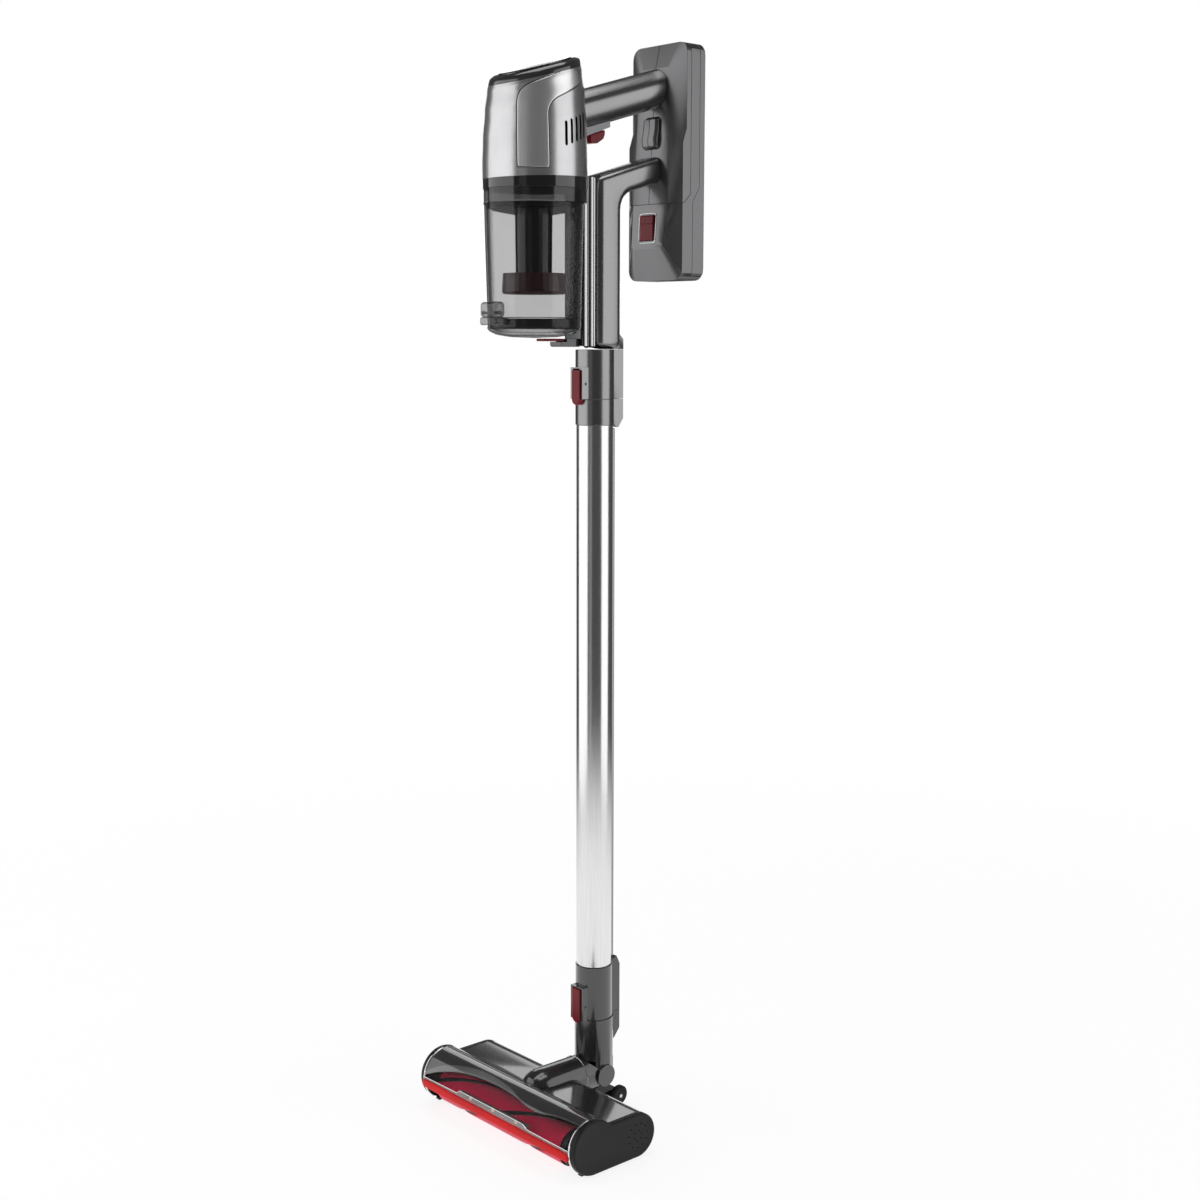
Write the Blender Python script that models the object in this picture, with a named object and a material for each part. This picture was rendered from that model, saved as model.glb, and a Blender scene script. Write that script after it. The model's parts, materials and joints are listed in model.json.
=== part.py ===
"""Cordless stick vacuum: floor head, wand and handheld unit, as an assembly of separate parts.

Lengths are metres and +Z is up. Everything is modelled round the wand's axis (x = y = 0), with the
front of the floor head towards -Y, and hangs on one empty that centres the footprint on the origin.
"""
import math

import bmesh
import bpy
from mathutils import Vector

GAP = 0.0003                     # clearance left between neighbouring solids
WIDE = 40                        # sides of the widest round parts
ROUND = 32                       # sides of tube-sized round parts
WAND_Y = 0.01155                 # wand axis behind the middle of the footprint

# Floor head
HEAD_HALF = 0.1246               # half width over the end caps
CAP_THICK = 0.0056
HEAD_END = HEAD_HALF - CAP_THICK - GAP
NOSE_Y, NOSE_Z, NOSE_R = -0.1082, 0.0295, 0.0275
TAIL_Y, TAIL_Z, TAIL_R = -0.0507, 0.0245, 0.0225
DECK_Z = TAIL_Z + TAIL_R
HEAD_WALL = 0.0022
WINDOW_WALL = 0.0018
WINDOW_REAR, WINDOW_FOOT = 79.0, 177.0      # angles round the nose
PLATE_FRONT, PLATE_REAR = -0.1200, -0.0480
PLATE_LOW, PLATE_HIGH = 0.0020, 0.0042
BUMPER_Y, BUMPER_HALF, BUMPER_ROUND = -0.1361, 0.0024, 0.0018
BUMPER_LOW, BUMPER_HIGH = 0.0212, 0.0302
STRIP_LEFT, STRIP_RIGHT = -0.0600, 0.0550
STRIP_LOW, STRIP_HIGH = 0.0296, 0.0354
BRUSH_Y, BRUSH_Z, BRUSH_R = -0.1080, 0.0198, 0.0192
BRUSH_HALF = 0.1080
BRUSH_END, BRUSH_CORE_END = 0.1000, 0.1075  # drive side, where the pulley sits
SHAFT_R, HUB_R, PULLEY_R = 0.0030, 0.0100, 0.0140
COWL_R, COWL_WALL = 0.0214, 0.0016
DRIVE_Y, DRIVE_Z = -0.0560, 0.0240
MOTOR_R, DRIVE_PULLEY_R, DRIVE_SHAFT_R = 0.0160, 0.0060, 0.0016
BELT_LOW, BELT_HIGH, BELT_THICK = 0.1010, 0.1066, 0.0012
SLOT_FRONT, SLOT_REAR, SLOT_HALF = -0.1330, -0.0860, 0.1130
REAR_WHEEL_Y, REAR_WHEEL_R = 0.0200, 0.0105
REAR_WHEEL_X = 0.0178
REAR_AXLE_R, REAR_AXLE_HALF = 0.0020, 0.0215
FRONT_ROLLER_X, FRONT_ROLLER_Y, FRONT_ROLLER_R = 0.0700, -0.0740, 0.0050
ROLLER_HALF, ROLLER_STUB, ROLLER_STUB_R = 0.0050, 0.0092, 0.0011

# Swivel elbow and tilting neck
SWIVEL_Z, SWIVEL_R = 0.0400, 0.0205
ELBOW_FRONT, ELBOW_STRAIGHT, ELBOW_WALL = -0.0945, -0.0700, 0.0024
FLANGE_FRONT, FLANGE_REAR = -0.0279, -0.0260
YOKE_REAR = -0.0070
PIVOT_Y, PIVOT_Z, PIVOT_R = -0.0020, 0.0400, 0.0115
PIN_R, PIN_IN, PIN_OUT = 0.0030, 0.0125, 0.0207
TONGUE_HALF, TONGUE_R, TONGUE_ROOT = 0.0162, 0.0110, -0.0160
NECK_R, NECK_TOP, NECK_BORE_R = 0.0204, 0.1004, 0.0164
CHEEK_IN, CHEEK_OUT = 0.0150, 0.0232
MITRE_Y, MITRE_Z, MITRE_SLOPE = -0.0199, 0.0572, -0.82

# Wand
TUBE_R, TUBE_WALL = 0.01835, 0.0015
TUBE_LOW, TUBE_HIGH = 0.1578, 0.7213
CHANNEL_Z = (0.1610, 0.7180)
CHANNEL_HALF, CHANNEL_BACK = 0.0052, 0.0232
RIB_HALF, RIB_ROOT = 0.0068, 0.0150      # contact ribs behind the collars
LOW_RIB_BACK, HIGH_RIB_BACK = 0.0305, 0.0325
COLLAR_R, BORE_R = 0.0193, 0.0150
SPIGOT_R, SPIGOT_WALL = 0.0147, 0.0020
LOW_COLLAR_Z = (0.1007, 0.1575)
TOP_COLLAR_Z = (0.7216, 0.7473)
NOZZLE_Z = (0.7476, 0.7965)
LEVER_HALF, LEVER_FRONT, LEVER_BACK = 0.0062, -0.0256, -0.0186
LEVER_PIN_Y, LEVER_PIN_R, LEVER_PIN_HALF = -0.0206, 0.0011, 0.0094
BUMP_HALF, BUMP_FRONT = 0.0098, -0.0236  # bump round each lever
LOW_BUMP_TOP, HIGH_BUMP_TOP = 0.1366, 0.7790

# Handheld unit
SPINE_HALF, SPINE_REAR, SPINE_FRONT = 0.0160, 0.0235, -0.0250
SPINE_SEAM, SPINE_TOP = -0.0090, 0.9645
DUCT_BORE_R, DUCT_BORE_Y = 0.0125, 0.0040
INLET_HALF, INLET_Z = 0.0100, (0.8750, 0.8950)   # opening from the cup into the duct
BODY_Y, BODY_LOW, BODY_R = -0.0769, 0.9478, 0.0504
BODY_WALL = 0.0024
TOP_Z, TOP_SLOPE = 1.0620, 0.300
PANEL_R = 0.0345
VENT_COUNT, VENT_START, VENT_PITCH, VENT_HALF = 5, -3.0, 8.0, 0.0011   # angles in degrees
CUP_Y, CUP_LOW, CUP_HIGH = -0.0785, 0.8260, 0.9345
CUP_R_LOW, CUP_R_HIGH, CUP_WALL = 0.0455, 0.0482, 0.0020
SEAL_LOW, SEAL_TOP = 0.9305, 0.9342
CORE_BORE_R, CORE_LOW = 0.0140, 0.8693
LID_LOW = 0.8075
HINGE_Y, HINGE_Z = -0.1305, 0.8310
HINGE_PIN_R, HINGE_LEG_HALF, HINGE_LEG_R = 0.0014, 0.0037, 0.0042
GRIP_R, GRIP_SLOPE = 0.0187, 0.292
GRIP_Y, GRIP_Z = 0.0130, 1.0367
GRIP_SPAN, GRIP_WALL = (-0.0520, 0.0850), 0.0030
TRIGGER_HALF = 0.0070

# Battery slab behind the handle
SLAB_HALF, SLAB_BACK = 0.0397, 0.1154
SLAB_LOW, SLAB_HIGH = 0.8662, 1.1000
SLAB_SIDE_Y, SLAB_STEP = 0.0870, 0.0050
STEP_LOW, STEP_HIGH = 1.0010, 1.0155
FACE_HALF, FACE_LOW, FACE_HIGH = 0.0228, 0.8975, 1.0765
FACE_Y_LOW, FACE_Y_HIGH = 0.0698, 0.0812
SLAB_WALL = 0.0024
PACK_TOP, PACK_FRONT, PACK_SPLIT, PACK_SEAM = 0.9420, 0.0930, 0.1050, 0.0960
BUTTON_HALF, BUTTON_Z = 0.0100, 0.9185
CELL_R, CELL_LENGTH = 0.0091, 0.0650


def material(name, colour, roughness, metallic=0.0, alpha=1.0):
    """A Principled material that several parts can share."""
    made = bpy.data.materials.get(name)
    if made:
        return made
    made = bpy.data.materials.new(name)
    made.use_nodes = True
    shader = made.node_tree.nodes["Principled BSDF"]
    shader.inputs["Base Color"].default_value = (*colour, 1.0)
    shader.inputs["Roughness"].default_value = roughness
    shader.inputs["Metallic"].default_value = metallic
    shader.inputs["Alpha"].default_value = alpha
    return made


FINISHES = {
    "silver": ((0.62, 0.62, 0.63), 0.25, 0.6),
    "graphite": ((0.10, 0.10, 0.105), 0.25, 0.3),
    "gunmetal": ((0.30, 0.30, 0.31), 0.28, 0.6),
    "black": ((0.02, 0.02, 0.022), 0.5),
    "red": ((0.35, 0.01, 0.02), 0.3),
    "bright_red": ((0.80, 0.01, 0.01), 0.4),
    "crimson": ((0.40, 0.01, 0.05), 0.9),
    "smoke": ((0.20, 0.20, 0.21), 0.05, 0.0, 0.4),
    "clear": ((0.60, 0.60, 0.62), 0.05, 0.0, 0.3),
    "aluminium": ((0.75, 0.75, 0.76), 0.3, 1.0),
    "steel": ((0.60, 0.60, 0.62), 0.3, 1.0),
    "circuit": ((0.02, 0.12, 0.05), 0.5),
    "cell": ((0.05, 0.20, 0.35), 0.4),
}


def start_scene():
    """Empty the scene and add the empty that everything hangs on."""
    for old in list(bpy.data.objects):
        bpy.data.objects.remove(old)
    base = bpy.data.objects.new("vacuum", None)
    base.location = (0.0, WAND_Y, 0.0)
    bpy.context.collection.objects.link(base)
    return base


BASE = start_scene()


def add(name, mesh_maker, finish, pivot=(0.0, 0.0, 0.0), sharp=35.0):
    """Turn a bmesh into a named object whose origin is its pivot."""
    bmesh.ops.recalc_face_normals(mesh_maker, faces=mesh_maker.faces[:])
    bmesh.ops.translate(mesh_maker, verts=mesh_maker.verts[:], vec=-Vector(pivot))
    mesh = bpy.data.meshes.new(name)
    mesh_maker.to_mesh(mesh)
    mesh_maker.free()
    mesh.shade_smooth()
    mesh.set_sharp_from_angle(angle=math.radians(sharp))
    mesh.materials.append(material(finish, *FINISHES[finish]))
    made = bpy.data.objects.new(name, mesh)
    made.location = pivot
    made.parent = BASE
    bpy.context.collection.objects.link(made)
    return made


def tool(name, mesh_maker):
    """A hidden solid that only shapes other parts."""
    made = add(name, mesh_maker, "black")
    made.hide_render = True
    made.display_type = "WIRE"
    return made


def boolean(target, operand, operation="DIFFERENCE"):
    """Cut the target with a tool, or join the tool to it."""
    modifier = target.modifiers.new(operand.name, "BOOLEAN")
    modifier.operation = operation
    modifier.solver = "EXACT"
    modifier.object = operand


def bevel(target, width, segments=2, angle=40.0):
    """Round the target's sharp edges."""
    modifier = target.modifiers.new("edges", "BEVEL")
    modifier.width = width
    modifier.segments = segments
    modifier.limit_method = "ANGLE"
    modifier.angle_limit = math.radians(angle)


def loft(loops):
    """A closed skin through equal loops, with flat ends."""
    made = bmesh.new()
    rows = [[made.verts.new(point) for point in loop] for loop in loops]
    count = len(rows[0])
    for low, high in zip(rows, rows[1:]):
        for i in range(count):
            j = (i + 1) % count
            made.faces.new((low[i], low[j], high[j], high[i]))
    made.faces.new(rows[0][::-1])
    made.faces.new(rows[-1])
    return made


def spread(axis, u, v, height):
    """A point from two outline values and a height along an axis."""
    if axis == "X":
        return Vector((height, u, v))
    if axis == "Y":
        return Vector((u, height, v))
    return Vector((u, v, height))


def prism(outline, axis, low, high):
    """A straight bar with the given outline: (y, z), (x, z) or (x, y) across X, Y or Z."""
    return loft([[spread(axis, u, v, height) for u, v in outline] for height in (low, high)])


def box(x, y, z):
    """A block between the given pairs."""
    return prism([(x[0], y[0]), (x[1], y[0]), (x[1], y[1]), (x[0], y[1])], "Z", *z)


def arc(centre, radius, start, end, steps):
    """Points round a circle, with angles in degrees."""
    points = []
    for i in range(steps + 1):
        angle = math.radians(start + (end - start) * i / steps)
        points.append((centre[0] + radius * math.cos(angle), centre[1] + radius * math.sin(angle)))
    return points


def circle(centre, radius, steps):
    """A closed round outline."""
    return arc(centre, radius, 0.0, 360.0, steps)[:-1]


def turned(profile, axis, centre, steps=28):
    """A solid turned round an axis from a (radius, height) profile; flat ends on the axis become discs."""
    flat_start = profile[0][0] == 0.0 and profile[0][1] == profile[1][1]
    flat_end = profile[-1][0] == 0.0 and profile[-1][1] == profile[-2][1]
    kept = profile[1 if flat_start else 0:-1 if flat_end else None]
    made = bmesh.new()
    rings = []
    for radius, height in kept:
        outline = [centre] if radius == 0.0 else circle(centre, radius, steps)
        rings.append([made.verts.new(spread(axis, *point, height)) for point in outline])
    for low, high in zip(rings, rings[1:]):
        join_rings(made, low, high, steps)
    if flat_start:
        made.faces.new(rings[0])
    if flat_end:
        made.faces.new(rings[-1])
    if profile[0][0] > 0.0:
        join_rings(made, rings[-1], rings[0], steps)
    return made


def join_rings(made, low, high, steps):
    """Faces between two rings, either of which may be a single point on the axis."""
    for i in range(steps):
        j = (i + 1) % steps
        corners = [low[i % len(low)], low[j % len(low)], high[j % len(high)], high[i % len(high)]]
        made.faces.new(list(dict.fromkeys(corners)))


def rod(radius, low, high):
    """The profile of a solid rod."""
    return [(0.0, low), (radius, low), (radius, high), (0.0, high)]


def sleeve(outer, inner, low, high):
    """The profile of a plain tube."""
    return [(inner, low), (outer, low), (outer, high), (inner, high)]


def rounded(half_x, low_z, high_z, radius, steps=4):
    """A rounded rectangle as (x, z), centred on x = 0."""
    points = []
    corners = ((half_x, high_z, 0.0), (-half_x, high_z, 90.0))
    corners += ((-half_x, low_z, 180.0), (half_x, low_z, 270.0))
    for x, z, start in corners:
        centre = (x - math.copysign(radius, x), z - math.copysign(radius, z - (low_z + high_z) / 2))
        points += arc(centre, radius, start, start + 90.0, steps)
    return points


# ---------------------------------------------------------------- floor head

def notch_angle(inset):
    """Where the flat deck meets the nose, as an angle round the nose."""
    return math.degrees(math.asin((DECK_Z - inset - NOSE_Z) / (NOSE_R - inset)))


def head_outline(inset):
    """The head's side outline: a round nose, a round tail and the flat deck between them."""
    tail = arc((TAIL_Y, TAIL_Z), TAIL_R - inset, -90.0, 90.0, 14)
    nose = arc((NOSE_Y, NOSE_Z), NOSE_R - inset, notch_angle(inset), 270.0, 20)
    return tail + nose


def shell_outline(tail_start, nose_end):
    """The rear casing's wall: round the tail, over the deck and up onto the nose."""
    def path(inset):
        tail = arc((TAIL_Y, TAIL_Z), TAIL_R - inset, tail_start, 90.0, 12)
        return tail + arc((NOSE_Y, NOSE_Z), NOSE_R - inset, notch_angle(inset), nose_end, 5)
    return path(0.0) + path(HEAD_WALL)[::-1]


def band_outline(centre, outer, inner, start, end, steps):
    """A curved strip between two radii."""
    return arc(centre, outer, start, end, steps) + arc(centre, inner, end, start, steps)


def pair(centre, half):
    """The two ends of a span about its centre."""
    return centre - half, centre + half


def make_casing():
    """Rear casing with the air hole under the elbow, the window and the brush cowl."""
    tail_start = -75.0
    outline = shell_outline(tail_start, WINDOW_REAR - 1.0)
    housing = add("head_housing", prism(outline, "X", -HEAD_END, HEAD_END), "graphite")
    hole_half, hole_y = 0.0130, (-0.0760, -0.0480)
    air_hole = box(pair(0.0, hole_half), hole_y, pair(DECK_Z - 0.0020, 0.0050))
    boolean(housing, tool("cut_air_hole", air_hole))
    window = band_outline((NOSE_Y, NOSE_Z), NOSE_R, NOSE_R - WINDOW_WALL, WINDOW_REAR, WINDOW_FOOT, 16)
    add("brush_window", prism(window, "X", -HEAD_END, HEAD_END), "clear")
    cowl_start, cowl_end = -36.0, 70.0
    cowl = band_outline((BRUSH_Y, BRUSH_Z), COWL_R + COWL_WALL, COWL_R, cowl_start, cowl_end, 12)
    cowl = add("brush_cowl", prism(cowl, "X", -BRUSH_HALF, BRUSH_END - 0.0010), "black")
    port_half, port_y, port_z = 0.0180, (-0.0960, -0.0800), (0.0160, 0.0380)
    boolean(cowl, tool("cut_cowl_port", box(pair(0.0, port_half), port_y, port_z)))


def make_base_plate():
    """Bottom plate, open round the brush, with pockets and posts for the two front rollers."""
    solid = box(pair(0.0, HEAD_END), (PLATE_FRONT, PLATE_REAR), (PLATE_LOW, PLATE_HIGH))
    plate = add("base_plate", solid, "black")
    mouth = box(pair(0.0, SLOT_HALF), (SLOT_FRONT, SLOT_REAR), (0.0, 0.0100))
    boolean(plate, tool("cut_mouth", mouth))
    post_x, post_half, post_depth, post_z = 0.0078, 0.0010, 0.0035, (0.0030, 0.0085)
    pocket_half, pocket_depth, stub_reach = 0.0060, 0.0065, 0.0110
    for side in (-1, 1):
        centre = side * FRONT_ROLLER_X
        for end in (-1, 1):
            post = box(pair(centre + end * post_x, post_half), pair(FRONT_ROLLER_Y, post_depth), post_z)
            boolean(plate, tool(f"join_post_{side}_{end}", post), "UNION")
        pocket = box(pair(centre, pocket_half), pair(FRONT_ROLLER_Y, pocket_depth), (0.0, 0.0120))
        boolean(plate, tool(f"cut_pocket_{side}", pocket))
        stub_hole = rod(ROLLER_STUB_R + GAP, *pair(centre, stub_reach))
        hole = turned(stub_hole, "X", (FRONT_ROLLER_Y, FRONT_ROLLER_R), 12)
        boolean(plate, tool(f"cut_stub_{side}", hole))


def make_end_caps():
    """End caps with their vent holes, and the brush bearings that they carry."""
    for side, word in ((1, "left"), (-1, "right")):
        inner, outer = side * (HEAD_HALF - CAP_THICK), side * HEAD_HALF
        cap = add(f"{word}_end_cap", prism(head_outline(0.0), "X", inner, outer), "black")
        bevel(cap, 0.0008, 2, 60.0)
        start, end = sorted((side * (BRUSH_HALF + 0.0010), side * (HEAD_END - GAP)))
        bearing = sleeve(2 * SHAFT_R, SHAFT_R + 0.0004, start, end)
        add(f"{word}_brush_bearing", turned(bearing, "X", (BRUSH_Y, BRUSH_Z), 24), "steel")


def make_bumper():
    """Soft red strip along the front."""
    section = rounded(BUMPER_HALF, BUMPER_LOW, BUMPER_HIGH, BUMPER_ROUND, 3)
    outline = [(BUMPER_Y + y, z) for y, z in section]
    add("bumper_strip", prism(outline, "X", -HEAD_END, HEAD_END), "bright_red")


def make_lights():
    """Light strip behind the foot of the window: circuit board and clear lens."""
    margin, board_y, lens_y = 0.0020, (-0.1318, -0.1310), (-0.1330, -0.1321)
    board = box((STRIP_LEFT + margin, STRIP_RIGHT - margin), board_y, (STRIP_LOW, STRIP_HIGH - 0.0002))
    add("led_board", board, "circuit")
    lens = box((STRIP_LEFT, STRIP_RIGHT), lens_y, (STRIP_LOW, STRIP_HIGH))
    add("led_lens", lens, "clear")


def make_brush():
    """Brush roller with its stub shafts and its pulley."""
    shaft_end, shoulder_r = HEAD_END - 0.0008, 0.0120
    shoulder = -BRUSH_HALF - 0.0006
    roller = [(0.0, -shaft_end), (SHAFT_R, -shaft_end), (SHAFT_R, shoulder), (shoulder_r, shoulder)]
    roller += [(shoulder_r, -BRUSH_HALF), (BRUSH_R, -BRUSH_HALF), (BRUSH_R, BRUSH_END), (HUB_R, BRUSH_END)]
    roller += [(HUB_R, BRUSH_CORE_END), (SHAFT_R, BRUSH_CORE_END), (SHAFT_R, shaft_end), (0.0, shaft_end)]
    centre = (BRUSH_Y, BRUSH_Z)
    add("brush_roller", turned(roller, "X", centre, 24), "crimson", (0.0, *centre))
    ring = sleeve(PULLEY_R, HUB_R + GAP, BRUSH_END + 0.0004, BRUSH_CORE_END - GAP)
    add("roller_pulley", turned(ring, "X", centre, 24), "black", (0.0, *centre))


def make_brush_drive():
    """Brush motor, its pulley and the belt to the roller's pulley."""
    drive = (DRIVE_Y, DRIVE_Z)
    pulley_low, pulley_high = BRUSH_END + 0.0004, BRUSH_CORE_END - GAP
    shaft_tip = BRUSH_END - 0.0010
    small = [(0.0, shaft_tip), (DRIVE_SHAFT_R, shaft_tip), (DRIVE_SHAFT_R, pulley_low)]
    small += [(DRIVE_PULLEY_R, pulley_low), (DRIVE_PULLEY_R, pulley_high), (0.0, pulley_high)]
    add("motor_pulley", turned(small, "X", drive, 16), "steel", (0.0, *drive))
    can_start, can_end, nose_end, seat = 0.0400, 0.0960, 0.0985, 0.0950
    nose_r, seat_r = 0.0060, DRIVE_SHAFT_R + 0.0004
    can = [(0.0, can_start), (MOTOR_R, can_start), (MOTOR_R, can_end), (nose_r, can_end), (nose_r, nose_end)]
    can += [(seat_r, nose_end), (seat_r, seat), (0.0, seat)]
    add("brush_motor", turned(can, "X", drive, 20), "steel")
    belt = make_belt((BRUSH_Y, BRUSH_Z), PULLEY_R + GAP, drive, DRIVE_PULLEY_R + GAP)
    add("drive_belt", belt, "black")


def belt_path(big, big_r, small, small_r, steps=12):
    """The open-belt outline round two pulleys."""
    run = Vector(small) - Vector(big)
    lean = math.degrees(math.atan2(run.y, run.x))
    wrap = math.degrees(math.acos((big_r - small_r) / run.length))
    points = arc(big, big_r, lean + wrap, lean + 360.0 - wrap, steps)
    return points + arc(small, small_r, lean - wrap, lean + wrap, steps)


def make_belt(big, big_r, small, small_r):
    """A flat belt ring between its inner and its outer outline."""
    inner = belt_path(big, big_r, small, small_r)
    outer = belt_path(big, big_r + BELT_THICK, small, small_r + BELT_THICK)
    corners = ((inner, BELT_LOW), (outer, BELT_LOW), (outer, BELT_HIGH), (inner, BELT_HIGH))
    rows = [[spread("X", *point, x) for point in path] for path, x in corners]
    made = bmesh.new()
    rings = [[made.verts.new(point) for point in row] for row in rows]
    for one, two in zip(rings, rings[1:] + rings[:1]):
        join_rings(made, one, two, len(one))
    return made


def wheel_bracket():
    """Side outline of the bracket that holds the rear axle behind the head."""
    front, rear = FLANGE_REAR + 0.0016, REAR_WHEEL_Y + 0.0050
    root, knee = front - 0.0090, 0.0120
    low, deck, high = 0.0060, 0.0090, 0.0145
    outline = [(root, low), (front, low - 0.0010), (rear, low), (rear, high)]
    return outline + [(knee, high + 0.0005), (front, deck), (root, deck)]


def make_head_wheels():
    """Wheels behind the head on their axle and bracket."""
    bracket_half, wheel_inner, wheel_outer = 0.0110, 0.0038, 0.0030
    bracket = add("wheel_bracket", prism(wheel_bracket(), "X", *pair(0.0, bracket_half)), "black")
    boolean(bracket, tool("cut_head_clear", head_clearance()))
    centre = (REAR_WHEEL_Y, REAR_WHEEL_R)
    bore = turned(rod(REAR_AXLE_R + GAP, -0.0150, 0.0150), "X", centre, 16)
    boolean(bracket, tool("cut_axle_bore", bore))
    add("rear_axle", turned(rod(REAR_AXLE_R, *pair(0.0, REAR_AXLE_HALF)), "X", centre, 16), "steel")
    face_r, bore_r, chamfer = REAR_WHEEL_R - 0.0020, REAR_AXLE_R + GAP, 0.0015
    for side, word in ((1, "left"), (-1, "right")):
        start, end = sorted((side * (REAR_WHEEL_X - wheel_inner), side * (REAR_WHEEL_X + wheel_outer)))
        tyre = [(bore_r, start), (face_r, start), (REAR_WHEEL_R, start + chamfer)]
        tyre += [(REAR_WHEEL_R, end - chamfer), (face_r, end), (bore_r, end)]
        add(f"rear_wheel_{word}", turned(tyre, "X", centre, 24), "black", (side * REAR_WHEEL_X, *centre))


def make_front_rollers():
    """Two small rollers that turn on stubs in the base plate."""
    place = (FRONT_ROLLER_Y, FRONT_ROLLER_R)
    for side, word in ((1, "left"), (-1, "right")):
        middle = side * FRONT_ROLLER_X
        low, high = pair(middle, ROLLER_HALF)
        stub_low, stub_high = pair(middle, ROLLER_STUB)
        wheel = [(0.0, stub_low), (ROLLER_STUB_R, stub_low), (ROLLER_STUB_R, low), (FRONT_ROLLER_R, low)]
        wheel += [(FRONT_ROLLER_R, high), (ROLLER_STUB_R, high), (ROLLER_STUB_R, stub_high), (0.0, stub_high)]
        add(f"front_roller_{word}", turned(wheel, "X", place, 16), "black", (middle, *place))


def head_clearance():
    """The head's outline with clearance, for cutting what sits against it."""
    return prism(head_outline(-GAP), "X", -0.0400, 0.0400)


# ---------------------------------------------------------------- elbow, yoke and neck

def dome_radius(y, front, straight, radius):
    """Radius of the elbow: round nose in front, straight tube behind."""
    if y >= straight:
        return radius
    share = (straight - y) / (straight - front)
    return radius * math.sqrt(max(0.0, 1.0 - share * share))


def elbow_solid(radius, front, rear, straight):
    """A horizontal round-nosed plug."""
    profile = [(0.0, front)]
    for share in (0.04, 0.14, 0.3, 0.5, 0.75, 1.0):      # closer together near the tip
        y = front + (straight - front) * share
        profile.append((dome_radius(y, front, straight, radius), y))
    profile += [(radius, rear), (0.0, rear)]
    return turned(profile, "Y", (0.0, SWIVEL_Z), ROUND)


def make_elbow():
    """Elbow casting on the deck, ending in the round swivel flange."""
    elbow = add("elbow", elbow_solid(SWIVEL_R, ELBOW_FRONT, FLANGE_REAR, ELBOW_STRAIGHT), "graphite")
    ends = (ELBOW_FRONT + 0.0045, FLANGE_REAR + 0.0020)
    bore = elbow_solid(SWIVEL_R - ELBOW_WALL, *ends, ELBOW_STRAIGHT + 0.0010)
    boolean(elbow, tool("cut_elbow_bore", bore))
    boolean(elbow, tool("cut_elbow_foot", head_clearance()))
    below = box(pair(0.0, 0.0300), (ELBOW_FRONT - 0.0055, FLANGE_FRONT - 0.0002), (0.0, TAIL_Z + 0.0100))
    boolean(elbow, tool("cut_elbow_below", below))


def make_yoke():
    """Yoke that turns in the elbow and ends in the tongue that the neck tilts on."""
    start = FLANGE_REAR + GAP
    yoke = add("yoke", turned(rod(SWIVEL_R, start, YOKE_REAR), "Y", (0.0, SWIVEL_Z), ROUND), "graphite")
    pivot = (PIVOT_Y, PIVOT_Z)
    tongue = [(TONGUE_ROOT, PIVOT_Z - TONGUE_R)] + arc(pivot, TONGUE_R, -90.0, 90.0, 14)
    tongue += [(TONGUE_ROOT, PIVOT_Z + TONGUE_R)]
    boolean(yoke, tool("join_tongue", prism(tongue, "X", *pair(0.0, TONGUE_HALF))), "UNION")
    for side, word in ((1, "left"), (-1, "right")):
        ends = sorted((side * (TONGUE_HALF - 0.0006), side * (SWIVEL_R + 0.0020)))
        cheek_space = turned(rod(PIVOT_R + 2 * GAP, *ends), "X", pivot, 24)
        boolean(yoke, tool(f"cut_cheek_{word}", cheek_space))
    boolean(yoke, tool("cut_mitre_low", mitre(-0.0006, 0.0300)))
    throat_r, throat_end = 0.0140, -0.0120
    throat = turned(rod(throat_r, start - 0.0010, throat_end), "Y", (0.0, SWIVEL_Z), 24)
    boolean(yoke, tool("cut_throat", throat))
    well_half, well_y, well_z = 0.0118, (-0.0180, 0.0040), (PIVOT_Z - 0.0050, 0.0700)
    boolean(yoke, tool("cut_well", box(pair(0.0, well_half), well_y, well_z)))
    boolean(yoke, tool("cut_pin_way", turned(rod(PIN_R + GAP, *pair(0.0, 0.0200)), "X", pivot, 16)))


def mitre(offset, height):
    """The half space above (height > 0) or below the neck's slanted front cut."""
    low, high = -0.0320, 0.0060
    edge = [(y, MITRE_Z + offset + MITRE_SLOPE * (y - MITRE_Y)) for y in (low, high)]
    return prism(edge + [(high, edge[1][1] + height), (low, edge[0][1] + height)], "X", -0.0260, 0.0260)


def make_neck():
    """Neck tube: cheeks round the tongue below, spigot for the wand above, rib behind."""
    pivot = (PIVOT_Y, PIVOT_Z)
    tube = turned(rod(NECK_R, PIVOT_Z, NECK_TOP), "Z", (0.0, 0.0), ROUND)
    neck = add("neck_tube", tube, "graphite", (0.0, *pivot))
    boolean(neck, tool("cut_mitre_high", mitre(0.0, -0.0400)))
    rib_foot, rib_low = 0.0800, 0.0700
    rib = [(RIB_ROOT, rib_foot), (0.0225, rib_low), (LOW_RIB_BACK, rib_foot)]
    rib += [(LOW_RIB_BACK, NECK_TOP), (RIB_ROOT, NECK_TOP)]
    boolean(neck, tool("join_neck_rib", prism(rib, "X", *pair(0.0, RIB_HALF))), "UNION")
    for side, word in ((1, "left"), (-1, "right")):
        ends = sorted((side * CHEEK_IN, side * CHEEK_OUT))
        disc = turned(rod(PIVOT_R, *ends), "X", pivot, 24)
        boolean(neck, tool(f"join_cheek_{word}", disc), "UNION")
    spigot = turned(rod(SPIGOT_R, NECK_TOP - 0.0054, NECK_TOP + 0.0386), "Z", (0.0, 0.0), 24)
    boolean(neck, tool("join_neck_spigot", spigot), "UNION")
    hollow_neck(neck)
    for side, word in ((1, "left"), (-1, "right")):
        ends = sorted((side * PIN_IN, side * PIN_OUT))
        add(f"{word}_pivot_pin", turned(rod(PIN_R, *ends), "X", pivot, 16), "steel", (0.0, *pivot))


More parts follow.
